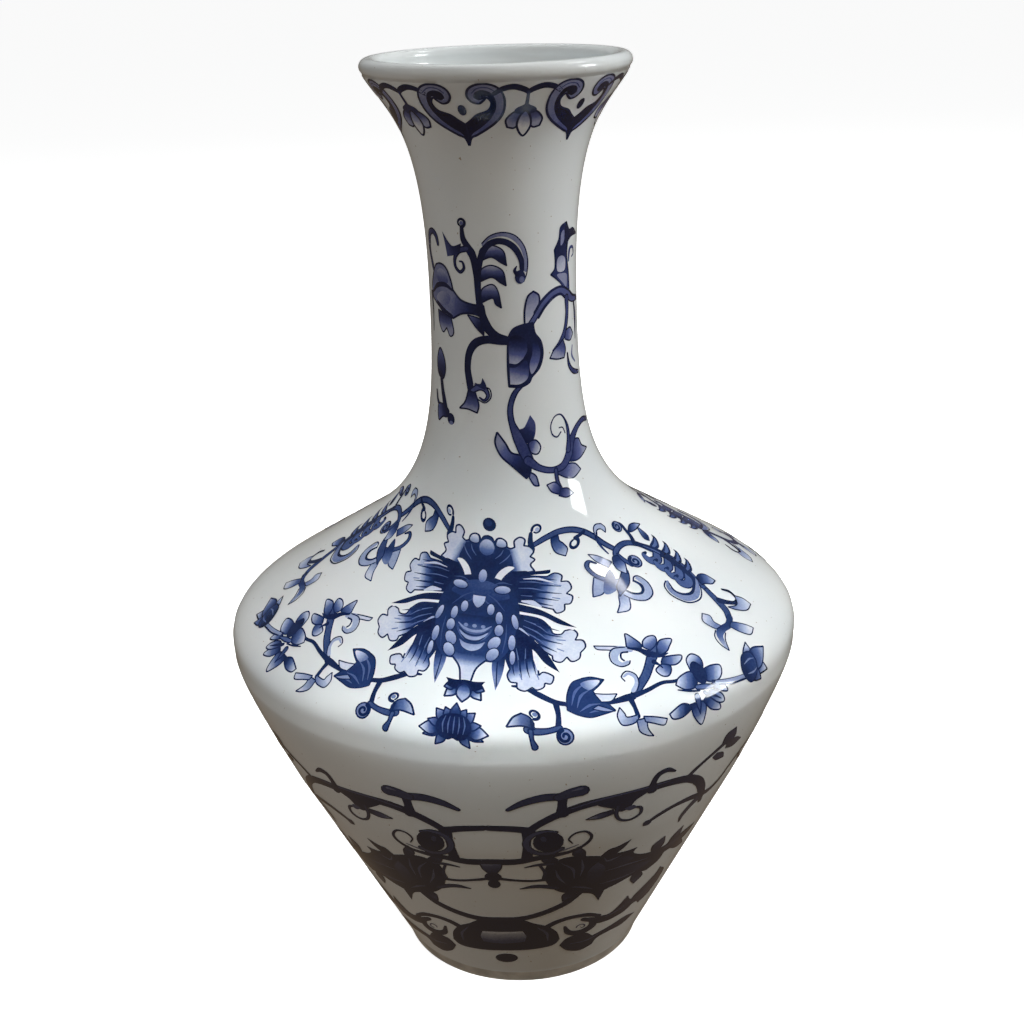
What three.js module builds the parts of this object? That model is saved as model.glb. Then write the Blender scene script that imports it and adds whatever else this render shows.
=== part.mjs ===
// A porcelain bottle vase: low foot, inverted-cone body, sharp-shouldered belly, waisted neck and rolled lip.
// It is built as a potter builds it: sections cast apart, rebated, and joined with rings of slip, then
// dressed with printed transfer skins. Millimetres, +Z up, origin on the table at the middle of the foot.
import * as THREE from "three";

// Driving dimensions
const HEIGHT = 300;
const WALL = 4; // thickness of every cast section
const SLIP = 0.4; // thickness of the slip in a joint
const SKIN = 0.2; // thickness of a printed transfer
const SEGMENTS = 40; // facets round the vase

// Outside outline, as [radius, height]
const FOOT_EDGE = [41.6, 0.8];
const CONE_FOOT = [43.2, 5];
const CONE_TOP = [76.9, 75];
const BELLY = [93, 117]; // the widest point
const SHOULDER_LOW = [79.6, 134.6];
const SHOULDER_HIGH = [49.4, 153.4];
const WAIST = [22.8, 231.8]; // the narrowest point of the neck
const FLARE_TOP = [39.3, 295.2];
const FLARE_LEAN = THREE.MathUtils.degToRad(29.7); // from upright, where the flare meets the lip

// Foot and floor
const FOOT_FLAT_OUTER = 40.8;
const FOOT_FLAT_INNER = 35.2;
const FOOT_INNER = 34.6;
const FOOT_TOP = CONE_FOOT[1];
const FLOOR_UNDERSIDE = FOOT_TOP + SLIP;
const FLOOR_TOP = FLOOR_UNDERSIDE + 4.4;
const FLOOR_RADIUS = 38.4;

// Rebated joints: the outer half of the wall steps at the low height, the inner half at the high one
const BELLY_JOINT = { low: 108, high: 112 };
const NECK_JOINT = { low: 176, high: 180 };
const LIP_JOINT = { low: 286, high: 289.5 };

// Rolled lip: an upright ellipse on top of the flare
const BEAD = { radius: 37.5, height: 297.6, halfWidth: 2.7, halfHeight: HEIGHT - 297.6 };

// Heights where each section's outside has a ring of corners; skins share them
const LOWER_BODY_RINGS = [FLOOR_UNDERSIDE, 12, 40, 75, 90, 104, BELLY_JOINT.low];
const SHOULDER_RINGS = [BELLY_JOINT.low + SLIP, 113, 117, 120.5, 124, 129, 134.6, 144, 153.4, 160, 167, 170,
  NECK_JOINT.low];
const NECK_RINGS = [NECK_JOINT.low + SLIP, 184, 194, 206, 220, 234, 246, 257, 267, 276, LIP_JOINT.low];
const LIP_RINGS = [LIP_JOINT.low + SLIP, 290.5, FLARE_TOP[1]];

// Materials: clear glaze over white body, bare fired body, and cobalt print under the glaze
const GLAZE = { color: 0xe9ebea, roughness: 0.12, metalness: 0 };
const BARE_BODY = { color: 0xd9d2c4, roughness: 0.8, metalness: 0 };
const COBALT = { color: 0x2b3f86, roughness: 0.12, metalness: 0 };

const flat = ([x, y]) => new THREE.Vector2(x, y);

// A curve from a to b that leaves along dirA and arrives along dirB, with handles of the given lengths.
function bend(a, dirA, lengthA, b, dirB, lengthB) {
  const start = flat(a);
  const end = flat(b);
  return new THREE.CubicBezierCurve(start, start.clone().addScaledVector(dirA, lengthA),
    end.clone().addScaledVector(dirB, -lengthB), end);
}

// The outside outline from the foot to the top of the flare, as curves that rise all the way.
function outline() {
  const up = new THREE.Vector2(0, 1);
  const cone = flat(CONE_TOP).sub(flat(CONE_FOOT)).normalize();
  const slope = flat(SHOULDER_HIGH).sub(flat(SHOULDER_LOW)).normalize();
  const flare = new THREE.Vector2(Math.sin(FLARE_LEAN), Math.cos(FLARE_LEAN));
  return [
    new THREE.LineCurve(flat(FOOT_EDGE), flat(CONE_FOOT)),
    new THREE.LineCurve(flat(CONE_FOOT), flat(CONE_TOP)),
    bend(CONE_TOP, cone, 8, BELLY, up, 5),
    bend(BELLY, up, 6.7, SHOULDER_LOW, slope, 18.9),
    new THREE.LineCurve(flat(SHOULDER_LOW), flat(SHOULDER_HIGH)),
    bend(SHOULDER_HIGH, slope, 29, WAIST, up, 41.4),
    bend(WAIST, up, 50, FLARE_TOP, flare, 12.3),
  ];
}

const OUTLINE = outline();

// The point of the outline at a height, moved into the wall by a depth square to the surface.
function wallPoint(height, depth = 0) {
  const curve = OUTLINE.find((c) => height <= c.getPoint(1).y + 1e-9);
  let low = 0;
  let high = 1;
  for (let step = 0; step < 50; step += 1) {
    const middle = (low + high) / 2;
    if (curve.getPoint(middle).y < height) low = middle;
    else high = middle;
  }
  const point = curve.getPoint(low);
  const tangent = curve.getTangent(low);
  return new THREE.Vector2(point.x - depth * tangent.y, height + depth * tangent.x);
}

const outside = (rings) => rings.map((height) => wallPoint(height));
const inside = (rings) => rings.map((height) => wallPoint(height, WALL));

// The stepped end of the section below a joint, from the outside in.
function lowerStep({ low, high }) {
  const tongue = (WALL + SLIP) / 2;
  return [wallPoint(low), wallPoint(low, tongue), wallPoint(high, tongue), wallPoint(high, WALL)];
}

// The stepped end of the section above a joint, from the outside in.
function upperStep({ low, high }) {
  const skirt = (WALL - SLIP) / 2;
  return [wallPoint(low + SLIP), wallPoint(low + SLIP, skirt), wallPoint(high + SLIP, skirt),
    wallPoint(high + SLIP, WALL)];
}

// A solid of revolution about Z from a profile of (radius, height) points, given anticlockwise.
function turned(name, material, profile) {
  const first = profile[0];
  const last = profile[profile.length - 1];
  const onAxis = first.x === 0 && last.x === 0;
  const geometry = new THREE.LatheGeometry(onAxis ? profile : [...profile, first], SEGMENTS);
  geometry.rotateX(Math.PI / 2);
  const mesh = new THREE.Mesh(geometry, new THREE.MeshStandardMaterial(material));
  mesh.name = name;
  return mesh;
}

// The unglazed ring that the vase stands on, with a flat underside.
function footRing() {
  return turned("foot_ring", BARE_BODY, [
    new THREE.Vector2(FOOT_FLAT_INNER, 0),
    new THREE.Vector2(FOOT_FLAT_OUTER, 0),
    flat(FOOT_EDGE),
    wallPoint(FOOT_TOP),
    new THREE.Vector2(FOOT_INNER, FOOT_TOP),
    new THREE.Vector2(FOOT_INNER, FOOT_EDGE[1]),
  ]);
}

function footSlipSeam() {
  return turned("foot_slip_seam", BARE_BODY, [
    new THREE.Vector2(FOOT_INNER, FOOT_TOP),
    wallPoint(FOOT_TOP),
    wallPoint(FLOOR_UNDERSIDE),
    new THREE.Vector2(FOOT_INNER, FLOOR_UNDERSIDE),
  ]);
}

// The disc that closes the body, recessed above the table inside the foot ring.
function baseFloor() {
  return turned("base_floor", GLAZE, [
    new THREE.Vector2(0, FLOOR_UNDERSIDE),
    new THREE.Vector2(FLOOR_RADIUS, FLOOR_UNDERSIDE),
    new THREE.Vector2(FLOOR_RADIUS, FLOOR_TOP),
    new THREE.Vector2(0, FLOOR_TOP),
  ]);
}

function floorSlipSeam() {
  return turned("floor_slip_seam", BARE_BODY, [
    new THREE.Vector2(FLOOR_RADIUS, FLOOR_UNDERSIDE),
    new THREE.Vector2(FLOOR_RADIUS + SLIP, FLOOR_UNDERSIDE),
    new THREE.Vector2(FLOOR_RADIUS + SLIP, FLOOR_TOP),
    new THREE.Vector2(FLOOR_RADIUS, FLOOR_TOP),
  ]);
}

// The inverted cone from the foot to the belly joint.
function lowerBody() {
  const between = LOWER_BODY_RINGS.slice(1, -1);
  const innerRings = between.filter((height) => height > FLOOR_TOP + WALL);
  return turned("lower_body", GLAZE, [
    wallPoint(FLOOR_UNDERSIDE),
    ...outside(between),
    ...lowerStep(BELLY_JOINT),
    ...inside(innerRings).reverse(),
    new THREE.Vector2(FLOOR_RADIUS + SLIP, FLOOR_TOP),
    new THREE.Vector2(FLOOR_RADIUS + SLIP, FLOOR_UNDERSIDE),
  ]);
}

// A section between two joints, with the rings of its outside repeated inside.
function section(name, rings, jointBelow, jointAbove) {
  const between = rings.slice(1, -1);
  const innerRings = between.filter((height) => height > jointBelow.high + SLIP && height < jointAbove.high);
  return turned(name, GLAZE, [
    ...upperStep(jointBelow).reverse(),
    ...outside(between),
    ...lowerStep(jointAbove),
    ...inside(innerRings).reverse(),
  ]);
}

// The ring of slip that fills a rebated joint.
function slipSeam(name, joint) {
  return turned(name, BARE_BODY, [...lowerStep(joint).reverse(), ...upperStep(joint)]);
}

// The rolled lip: the end of the flare and a rounded bead on it.
function lipRim() {
  const arc = [-45, -15, 15, 50, 90, 130, 165, 190].map((degrees) => {
    const angle = THREE.MathUtils.degToRad(degrees);
    return new THREE.Vector2(BEAD.radius + BEAD.halfWidth * Math.cos(angle),
      BEAD.height + BEAD.halfHeight * Math.sin(angle));
  });
  return turned("lip_rim", GLAZE, [
    ...upperStep(LIP_JOINT).reverse(),
    ...outside(LIP_RINGS.slice(1)),
    ...arc,
  ]);
}

// A printed transfer: a thin skin all round the outside, over the listed rings.
function transfer(name, rings) {
  const lifted = rings.map((height) => wallPoint(height, -SKIN));
  return turned(name, COBALT, [...lifted, ...outside(rings).reverse()]);
}

const vase = new THREE.Group();
vase.add(
  footRing(),
  footSlipSeam(),
  baseFloor(),
  floorSlipSeam(),
  lowerBody(),
  slipSeam("belly_slip_seam", BELLY_JOINT),
  section("shoulder", SHOULDER_RINGS, BELLY_JOINT, NECK_JOINT),
  slipSeam("neck_slip_seam", NECK_JOINT),
  section("neck", NECK_RINGS, NECK_JOINT, LIP_JOINT),
  slipSeam("lip_slip_seam", LIP_JOINT),
  lipRim(),
  transfer("band_transfer", LOWER_BODY_RINGS.slice(1, -1)),
  transfer("shoulder_transfer", SHOULDER_RINGS.slice(2, 11)),
  transfer("neck_transfer", [...SHOULDER_RINGS.slice(11), ...NECK_RINGS.slice(0, 8)]),
  transfer("border_transfer", [...NECK_RINGS.slice(9), ...LIP_RINGS]),
);

export default vase;
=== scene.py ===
# A blue-and-white porcelain bottle vase around its CAD model: glazed sections, slip seams, an unglazed foot
# and four transfer prints, drawn mark by mark on the unrolled wall. Lengths are millimetres until they are
# placed; MM turns them into metres.
import math

import bpy
import numpy as np
from mathutils import Matrix, Vector
from mathutils.geometry import delaunay_2d_cdt


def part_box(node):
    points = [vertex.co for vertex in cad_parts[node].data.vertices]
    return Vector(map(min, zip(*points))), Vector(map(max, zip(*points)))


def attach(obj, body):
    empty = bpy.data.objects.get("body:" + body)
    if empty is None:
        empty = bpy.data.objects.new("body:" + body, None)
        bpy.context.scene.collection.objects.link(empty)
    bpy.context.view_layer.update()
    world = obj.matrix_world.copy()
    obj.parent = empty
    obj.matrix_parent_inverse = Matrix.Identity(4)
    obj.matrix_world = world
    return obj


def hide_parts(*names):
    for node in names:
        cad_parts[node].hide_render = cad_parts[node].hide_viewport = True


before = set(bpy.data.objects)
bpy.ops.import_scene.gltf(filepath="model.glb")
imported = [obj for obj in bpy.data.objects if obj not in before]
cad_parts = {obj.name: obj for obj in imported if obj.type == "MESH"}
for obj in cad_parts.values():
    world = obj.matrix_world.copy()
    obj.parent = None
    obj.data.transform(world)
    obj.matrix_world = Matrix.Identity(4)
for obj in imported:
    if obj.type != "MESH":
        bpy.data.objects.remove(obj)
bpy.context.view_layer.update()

MM = 0.001

# ---------------------------------------------------------------- sizes shared with the CAD model
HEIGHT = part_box("lip_rim")[1].z / MM
WALL = 4.0
SLIP = 0.4
FOOT_EDGE = (41.6, 0.8)
CONE_FOOT = (43.2, 5.0)
CONE_TOP = (76.9, 75.0)
BELLY = (93.0, 117.0)
SHOULDER_LOW = (79.6, 134.6)
SHOULDER_HIGH = (49.4, 153.4)
WAIST = (22.8, 231.8)
FLARE_TOP = (39.3, 295.2)
FLARE_LEAN = math.radians(29.7)
FOOT_FLAT_OUTER = 40.8
FOOT_FLAT_INNER = 35.2
FOOT_INNER = 34.6
FLOOR_UNDERSIDE = 5.4
FLOOR_TOP = 9.8
FLOOR_RADIUS = 38.4
BELLY_JOINT = (108.0, 112.0)
NECK_JOINT = (176.0, 180.0)
LIP_JOINT = (286.0, 289.5)
BEAD = {"radius": 37.5, "height": 297.6, "half_width": 2.7, "half_height": 2.4}

ROUND = 256  # facets round each turned piece
COVER = 0.4  # depth of the glaze that bridges a joint
TONGUE = (WALL + SLIP) / 2  # depth of the step in the section below a joint
SKIRT = (WALL - SLIP) / 2  # depth of the step in the section above a joint
FOOT_ROUNDING = 0.5  # handle length of the curves at the foot's edges
FLOOR_DISH = 0.35  # how far each face of the floor sags in its middle
COVE_TOP = 17.5  # outline height where the inside of the wall turns in to the floor
BEAD_START = -45  # the rolled lip's arc, in degrees from straight out
BEAD_END = 185
LIP_TUCK = 291.0  # outline height where the lip's inner side meets the wall
PRINT_LIFT = 0.08  # how far the printed glaze stands off the wall
PRINT_GRID = 1.6  # spacing of the inner points of a print
ROW_STEP = 0.87 * PRINT_GRID  # spacing of their rows

# Where the prints lie: meridians in degrees from the front, positive towards +X
LOTUS_AXIS = -10.4
SCROLL_MERIDIAN = 56.4  # from the lotus axis
LOW_MERIDIAN = 34.4  # from the lotus axis
SHOULDER_ASKEW = 6.5  # how far the shoulder print dips on the right and rises on the left
ROSETTE_SHIFT = -1.4
BORDER_AXIS = -16.5
BAND_AXIS = -7.1
BAND_SHIFT = 1.1  # from the band's own axis to the meridian that its marks are drawn about
BAND_ASKEW = -4.5

# The camera, in metres and degrees
CAMERA_PLACE = (0, -0.450, 0.3322)
CAMERA_PITCH = 21.43  # below level
CAMERA_YAW = 0.08
CAMERA_ROLL = -1.81
LENS = 51.72

FLOOR_HALF = 12.0  # half the side of the studio floor, in metres
FLOOR_GLOW = 0.86

# World light by direction, from straight down (0) to straight up (1)
SKY = [
    (0.0, (0.145, 0.100, 0.062)),
    (0.46, (0.105, 0.080, 0.052)),
    (0.56, (0.105, 0.102, 0.094)),
    (1.0, (0.090, 0.095, 0.100)),
]


# ---------------------------------------------------------------- outline of the vase
def bend(a, along_a, length_a, b, along_b, length_b, count=160):
    """Points of a cubic curve from a to b with the given end directions and handle lengths."""
    a, b = np.array(a), np.array(b)
    t = np.linspace(0, 1, count)[:, None]
    handle_a = a + np.array(along_a) * length_a
    handle_b = b - np.array(along_b) * length_b
    return (1 - t) ** 3 * a + 3 * (1 - t) ** 2 * t * handle_a + 3 * (1 - t) * t**2 * handle_b + t**3 * b


def unit(a, b):
    """The direction from a to b."""
    d = np.array(b) - np.array(a)
    return d / np.linalg.norm(d)


def straight(a, b, count=80):
    """Even points along a straight line from a to b."""
    return np.linspace(a, b, count)


def make_outline():
    """The outside of the vase as dense (radius, height) points, foot edge to flare top."""
    up = (0.0, 1.0)
    cone = unit(CONE_FOOT, CONE_TOP)
    slope = unit(SHOULDER_LOW, SHOULDER_HIGH)
    flare = (math.sin(FLARE_LEAN), math.cos(FLARE_LEAN))
    runs = [
        straight(FOOT_EDGE, CONE_FOOT, 12),
        straight(CONE_FOOT, CONE_TOP),
        bend(CONE_TOP, cone, 8, BELLY, up, 5),
        bend(BELLY, up, 6.7, SHOULDER_LOW, slope, 18.9),
        straight(SHOULDER_LOW, SHOULDER_HIGH),
        bend(SHOULDER_HIGH, slope, 29, WAIST, up, 41.4),
        bend(WAIST, up, 50, FLARE_TOP, flare, 12.3),
    ]
    return np.vstack([runs[0]] + [run[1:] for run in runs[1:]])


def along(line):
    """Length along a line at each of its points."""
    return np.concatenate([[0], np.cumsum(np.linalg.norm(np.diff(line, axis=0), axis=1))])


OUTLINE = make_outline()
ARC = along(OUTLINE)  # length along the outside from the foot edge
SLOPES = np.gradient(OUTLINE, ARC, axis=0)
SLOPES = SLOPES / np.linalg.norm(SLOPES, axis=1)[:, None]


def radius_at(s):
    """The outside radius at length s."""
    return np.interp(s, ARC, OUTLINE[:, 0])


def wall_point(s, depth=0.0):
    """(radius, height) and outward normal (radial, upward) of the wall at length s, sunk by depth."""
    r, z = radius_at(s), np.interp(s, ARC, OUTLINE[:, 1])
    tr, tz = np.interp(s, ARC, SLOPES[:, 0]), np.interp(s, ARC, SLOPES[:, 1])
    size = np.hypot(tr, tz)
    nr, nz = tz / size, -tr / size
    return r - depth * nr, z - depth * nz, nr, nz


def arc_at(height):
    """Length along the outside at a height."""
    return float(np.interp(height, OUTLINE[:, 1], ARC))


# ---------------------------------------------------------------- turned pieces
def turned(name, runs, material):
    """A turned piece, named as the CAD node it stands for, from runs of (radius, height, normal r, normal z).
    It is smooth along a run and sharp where two runs meet."""
    verts, faces, normals = [], [], []
    angles = np.linspace(0, 2 * math.pi, ROUND, endpoint=False)
    cos, sin = np.cos(angles), np.sin(angles)
    loops = [np.array(run, float) for run in runs]
    rings = []
    index = {}
    for loop in loops:
        ids = []
        for r, z, nr, nz in loop:
            key = (round(r, 4), round(z, 4))
            if key not in index:
                index[key] = len(verts)
                if r < 1e-6:
                    verts.append((0.0, 0.0, z * MM))
                else:
                    verts.extend(zip(r * cos * MM, r * sin * MM, [z * MM] * ROUND))
            ids.append(index[key])
        rings.append(ids)
    for loop, ids in zip(loops, rings):
        for (lower, upper), (a, b) in zip(zip(ids[:-1], ids[1:]), zip(loop[:-1], loop[1:])):
            for k in range(ROUND):
                n = (k + 1) % ROUND
                if a[0] < 1e-6:
                    face = [lower, upper + n, upper + k]
                    ends = [(a, k), (b, n), (b, k)]
                elif b[0] < 1e-6:
                    face = [lower + k, lower + n, upper]
                    ends = [(a, k), (a, n), (b, k)]
                else:
                    face = [lower + k, lower + n, upper + n, upper + k]
                    ends = [(a, k), (a, n), (b, n), (b, k)]
                faces.append(face)
                normals.extend((p[2] * cos[q], p[2] * sin[q], p[3]) for p, q in ends)
    finish_piece(name, verts, faces, normals, material, [name])


def finish_piece(name, verts, faces, normals, material, replaced):
    """Make the mesh, with a normal for each corner, hang it on the root body and hide the CAD parts that it
    stands for.
    """
    mesh = bpy.data.meshes.new(name)
    mesh.from_pydata(verts, [], faces)
    mesh.polygons.foreach_set("use_smooth", [True] * len(mesh.polygons))
    mesh.normals_split_custom_set(normals)
    mesh.materials.append(material)
    piece = bpy.data.objects.new(name, mesh)
    bpy.context.scene.collection.objects.link(piece)
    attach(piece, "root")
    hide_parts(*replaced)
    return piece


def wall_run(low, high, depth=0.0, count=None):
    """A run up the wall between two heights of the outside, at a depth; sunk runs face the inside."""
    s = np.linspace(arc_at(low), arc_at(high), count or max(3, int((high - low) / 1.2)))
    r, z, nr, nz = wall_point(s, depth)
    return list(zip(r, z, nr, nz))


def inner_run(high, low, count=None):
    """A run down the inside of the wall between two heights of the outside."""
    return [(r, z, -nr, -nz) for r, z, nr, nz in reversed(wall_run(low, high, WALL, count))]


def edge(*points):
    """Flat runs through (radius, height) points, one run for each stretch."""
    runs = []
    for (r0, z0), (r1, z1) in zip(points[:-1], points[1:]):
        size = math.hypot(r1 - r0, z1 - z0)
        normal = ((z1 - z0) / size, -(r1 - r0) / size)
        runs.append([(r0, z0, *normal), (r1, z1, *normal)])
    return runs


def wall_spot(height, depth=0.0):
    """(radius, height) of the wall at a height of the outside, sunk by depth."""
    r, z, _, _ = wall_point(arc_at(height), depth)
    return float(r), float(z)


# ---------------------------------------------------------------- materials
def new_material(name):
    """A material, its node tree and its shader."""
    material = bpy.data.materials.new(name)
    material.use_nodes = True
    tree = material.node_tree
    return material, tree, tree.nodes["Principled BSDF"]


def node(tree, kind, **settings):
    """A new node with settings for its properties or, by their names, its sockets."""
    made = tree.nodes.new(kind)
    for key, value in settings.items():
        if hasattr(made, key):
            setattr(made, key, value)
        else:
            made.inputs[key.replace("_", " ")].default_value = value
    return made


def noise(tree, scale, detail=2.0, roughness=0.5):
    """A noise value in object space, with its scale in features per metre."""
    place = node(tree, "ShaderNodeTexCoord")
    made = node(tree, "ShaderNodeTexNoise", Scale=scale, Detail=detail, Roughness=roughness)
    tree.links.new(place.outputs["Object"], made.inputs["Vector"])
    return made.outputs["Fac"]


def ramp(tree, source, stops):
    """A colour from a value, by (position, colour) stops."""
    made = node(tree, "ShaderNodeValToRGB")
    elements = made.color_ramp.elements
    while len(elements) < len(stops):
        elements.new(0.5)
    for element, (position, colour) in zip(elements, stops):
        element.position = position
        element.color = (*colour, 1.0)
    tree.links.new(source, made.inputs["Fac"])
    return made.outputs["Color"]


def span(tree, source, low, high):
    """A value from 0 to 1 spread over the range from low to high."""
    made = node(tree, "ShaderNodeMapRange", To_Min=low, To_Max=high)
    tree.links.new(source, made.inputs["Value"])
    return made.outputs["Result"]


def total(tree, a, b):
    """The sum of two values."""
    made = node(tree, "ShaderNodeMath", operation="ADD")
    tree.links.new(a, made.inputs[0])
    tree.links.new(b, made.inputs[1])
    return made.outputs["Value"]


def bump(tree, source, strength, distance):
    """A bump node over a height value, with its distance in metres."""
    made = node(tree, "ShaderNodeBump", Strength=strength, Distance=distance)
    tree.links.new(source, made.inputs["Height"])
    return made


def glaze_surface(tree, shader):
    """The clear glaze: glossy, with the slow waviness of a glaze that ran a little in the kiln."""
    waves = bump(tree, noise(tree, 55.0, 1.0), 0.16, 0.0006)
    peel = bump(tree, noise(tree, 900.0, 2.0), 0.05, 0.0001)
    tree.links.new(waves.outputs["Normal"], peel.inputs["Normal"])
    tree.links.new(peel.outputs["Normal"], shader.inputs["Normal"])
    gloss = span(tree, noise(tree, 38.0, 3.0), 0.05, 0.13)
    tree.links.new(gloss, shader.inputs["Roughness"])
    shader.inputs["IOR"].default_value = 1.52


def white_glaze():
    """White porcelain under clear glaze: a faint cool cloudiness and a few pinhead iron specks."""
    material, tree, shader = new_material("white_glaze")
    body = ramp(tree, noise(tree, 24.0, 4.0), [(0.3, (0.745, 0.785, 0.80)), (0.7, (0.80, 0.82, 0.815))])
    dots = ramp(tree, noise(tree, 1150.0, 0.0), [(0.84, (0.0, 0.0, 0.0)), (0.88, (1.0, 1.0, 1.0))])
    mix = node(tree, "ShaderNodeMix", data_type="RGBA")
    factor, first, second = mix.inputs[0], mix.inputs[6], mix.inputs[7]
    second.default_value = (*IRON, 1.0)
    tree.links.new(dots, factor)
    tree.links.new(body, first)
    tree.links.new(mix.outputs[2], shader.inputs["Base Color"])
    glaze_surface(tree, shader)
    return material


def cobalt_glaze(name, stops):
    """Cobalt print under the same glaze: each mark's tone picks its place on a ramp from white to navy, a
    little uneven from its grain and from where the wash pooled."""
    material, tree, shader = new_material(name)
    tone = node(tree, "ShaderNodeAttribute", attribute_name="tone")
    grain = span(tree, noise(tree, 1500.0, 2.0), -0.07, 0.07)
    pools = span(tree, noise(tree, 170.0, 2.0), -0.09, 0.09)
    uneven = total(tree, total(tree, grain, pools), tone.outputs["Fac"])
    tree.links.new(ramp(tree, uneven, stops), shader.inputs["Base Color"])
    glaze_surface(tree, shader)
    return material


def bare_porcelain(name, tint):
    """Fired body with no glaze: matt, finely gritty, a little soiled in the low grain."""
    material, tree, shader = new_material(name)
    soiled = tuple(0.72 * c for c in tint)
    body = ramp(tree, noise(tree, 120.0, 5.0), [(0.35, soiled), (0.6, tint)])
    tree.links.new(body, shader.inputs["Base Color"])
    grit = bump(tree, noise(tree, 2600.0, 4.0, 0.65), 0.5, 0.00015)
    tree.links.new(grit.outputs["Normal"], shader.inputs["Normal"])
    shader.inputs["Roughness"].default_value = 0.78
    return material


WHITE = (0.80, 0.81, 0.82)
IRON = (0.42, 0.36, 0.30)
# Ink by tone, from none (0) to full (1), for each print
SHOULDER_INKS = [
    (0.0, WHITE),
    (0.22, (0.40, 0.47, 0.66)),
    (0.5, (0.085, 0.135, 0.325)),
    (0.78, (0.017, 0.038, 0.130)),
    (1.0, (0.005, 0.012, 0.048)),
]
NECK_INKS = [
    (0.0, WHITE),
    (0.22, (0.38, 0.40, 0.54)),
    (0.5, (0.092, 0.112, 0.28)),
    (0.78, (0.018, 0.028, 0.105)),
    (1.0, (0.005, 0.009, 0.036)),
]
BAND_INKS = [
    (0.0, WHITE),
    (0.22, (0.30, 0.32, 0.38)),
    (0.5, (0.055, 0.068, 0.145)),
    (0.78, (0.012, 0.021, 0.068)),
    (1.0, (0.004, 0.011, 0.044)),
]

GLAZE = white_glaze()
FOOT_CLAY = bare_porcelain("foot_clay", (0.62, 0.57, 0.50))
SLIP_CLAY = bare_porcelain("slip_clay", (0.70, 0.66, 0.60))
SHOULDER_COBALT = cobalt_glaze("shoulder_cobalt", SHOULDER_INKS)
NECK_COBALT = cobalt_glaze("neck_cobalt", NECK_INKS)
BAND_COBALT = cobalt_glaze("band_cobalt", BAND_INKS)


# ---------------------------------------------------------------- body pieces
def covered_lower_step(joint):
    """The end of the section below a joint; its inside glaze runs on over the slip."""
    low, high = joint
    bare = WALL - COVER
    return edge(wall_spot(low), wall_spot(low, TONGUE), wall_spot(high, TONGUE), wall_spot(high, bare),
                wall_spot(high + SLIP, bare), wall_spot(high + SLIP, WALL))


def covered_upper_step(joint):
    """The end of the section above a joint; its outside glaze runs on down over the slip."""
    low, high = joint
    return edge(wall_spot(high + SLIP, WALL), wall_spot(high + SLIP, SKIRT), wall_spot(low + SLIP, SKIRT),
                wall_spot(low + SLIP, COVER), wall_spot(low, COVER), wall_spot(low))


def slip_seam(name, joint):
    """The ring of slip in a rebated joint, just under the glaze on both sides."""
    low, high = joint
    bare = WALL - COVER
    corners = [wall_spot(high, bare), wall_spot(high, TONGUE), wall_spot(low, TONGUE), wall_spot(low, COVER),
               wall_spot(low + SLIP, COVER), wall_spot(low + SLIP, SKIRT), wall_spot(high + SLIP, SKIRT),
               wall_spot(high + SLIP, bare)]
    turned(name, edge(*corners, corners[0]), SLIP_CLAY)


def section(name, joint_below, joint_above):
    """A cast section of the wall from the joint under it to the joint over it."""
    runs = covered_upper_step(joint_below)
    runs.append(wall_run(joint_below[0], joint_above[0]))
    runs.extend(covered_lower_step(joint_above))
    runs.append(inner_run(joint_above[1] + SLIP, joint_below[1] + SLIP))
    turned(name, runs, GLAZE)


def lower_body():
    """The inverted cone, with a coved corner where its inside meets the floor."""
    seam = FLOOR_RADIUS + SLIP
    r, z, normal_r, normal_z = inner_run(COVE_TOP + 0.5, COVE_TOP, 2)[-1]
    cove = bend((r, z), (normal_z, -abs(normal_r)), 7, (seam, FLOOR_TOP), (-1.0, 0.0), 2.5, 14)
    runs = edge((seam, FLOOR_TOP), (seam, FLOOR_UNDERSIDE), wall_spot(FLOOR_UNDERSIDE, COVER),
                wall_spot(CONE_FOOT[1], COVER), wall_spot(CONE_FOOT[1]))
    runs.append(wall_run(CONE_FOOT[1], BELLY_JOINT[0]))
    runs.extend(covered_lower_step(BELLY_JOINT))
    runs.append(inner_run(BELLY_JOINT[1] + SLIP, COVE_TOP))
    runs.append(with_normals(cove))
    turned("lower_body", runs, GLAZE)


def with_normals(points):
    """A run from plain (radius, height) points, with the normals of a smooth line through them."""
    points = np.array(points, float)
    slopes = np.gradient(points, axis=0)
    slopes = slopes / np.linalg.norm(slopes, axis=1)[:, None]
    return [(r, z, t[1], -t[0]) for (r, z), t in zip(points, slopes)]


def base_floor():
    """The disc that closes the body, dished a little in the firing."""
    steps = np.linspace(0, FLOOR_RADIUS, 24)
    sag = FLOOR_DISH * (1 - (steps / FLOOR_RADIUS) ** 2)
    under = with_normals(np.column_stack([steps, FLOOR_UNDERSIDE + sag]))
    top = with_normals(np.column_stack([steps, FLOOR_TOP - sag])[::-1])
    side = edge((FLOOR_RADIUS, FLOOR_UNDERSIDE), (FLOOR_RADIUS, FLOOR_TOP))
    turned("base_floor", [under, *side, top], GLAZE)


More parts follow.
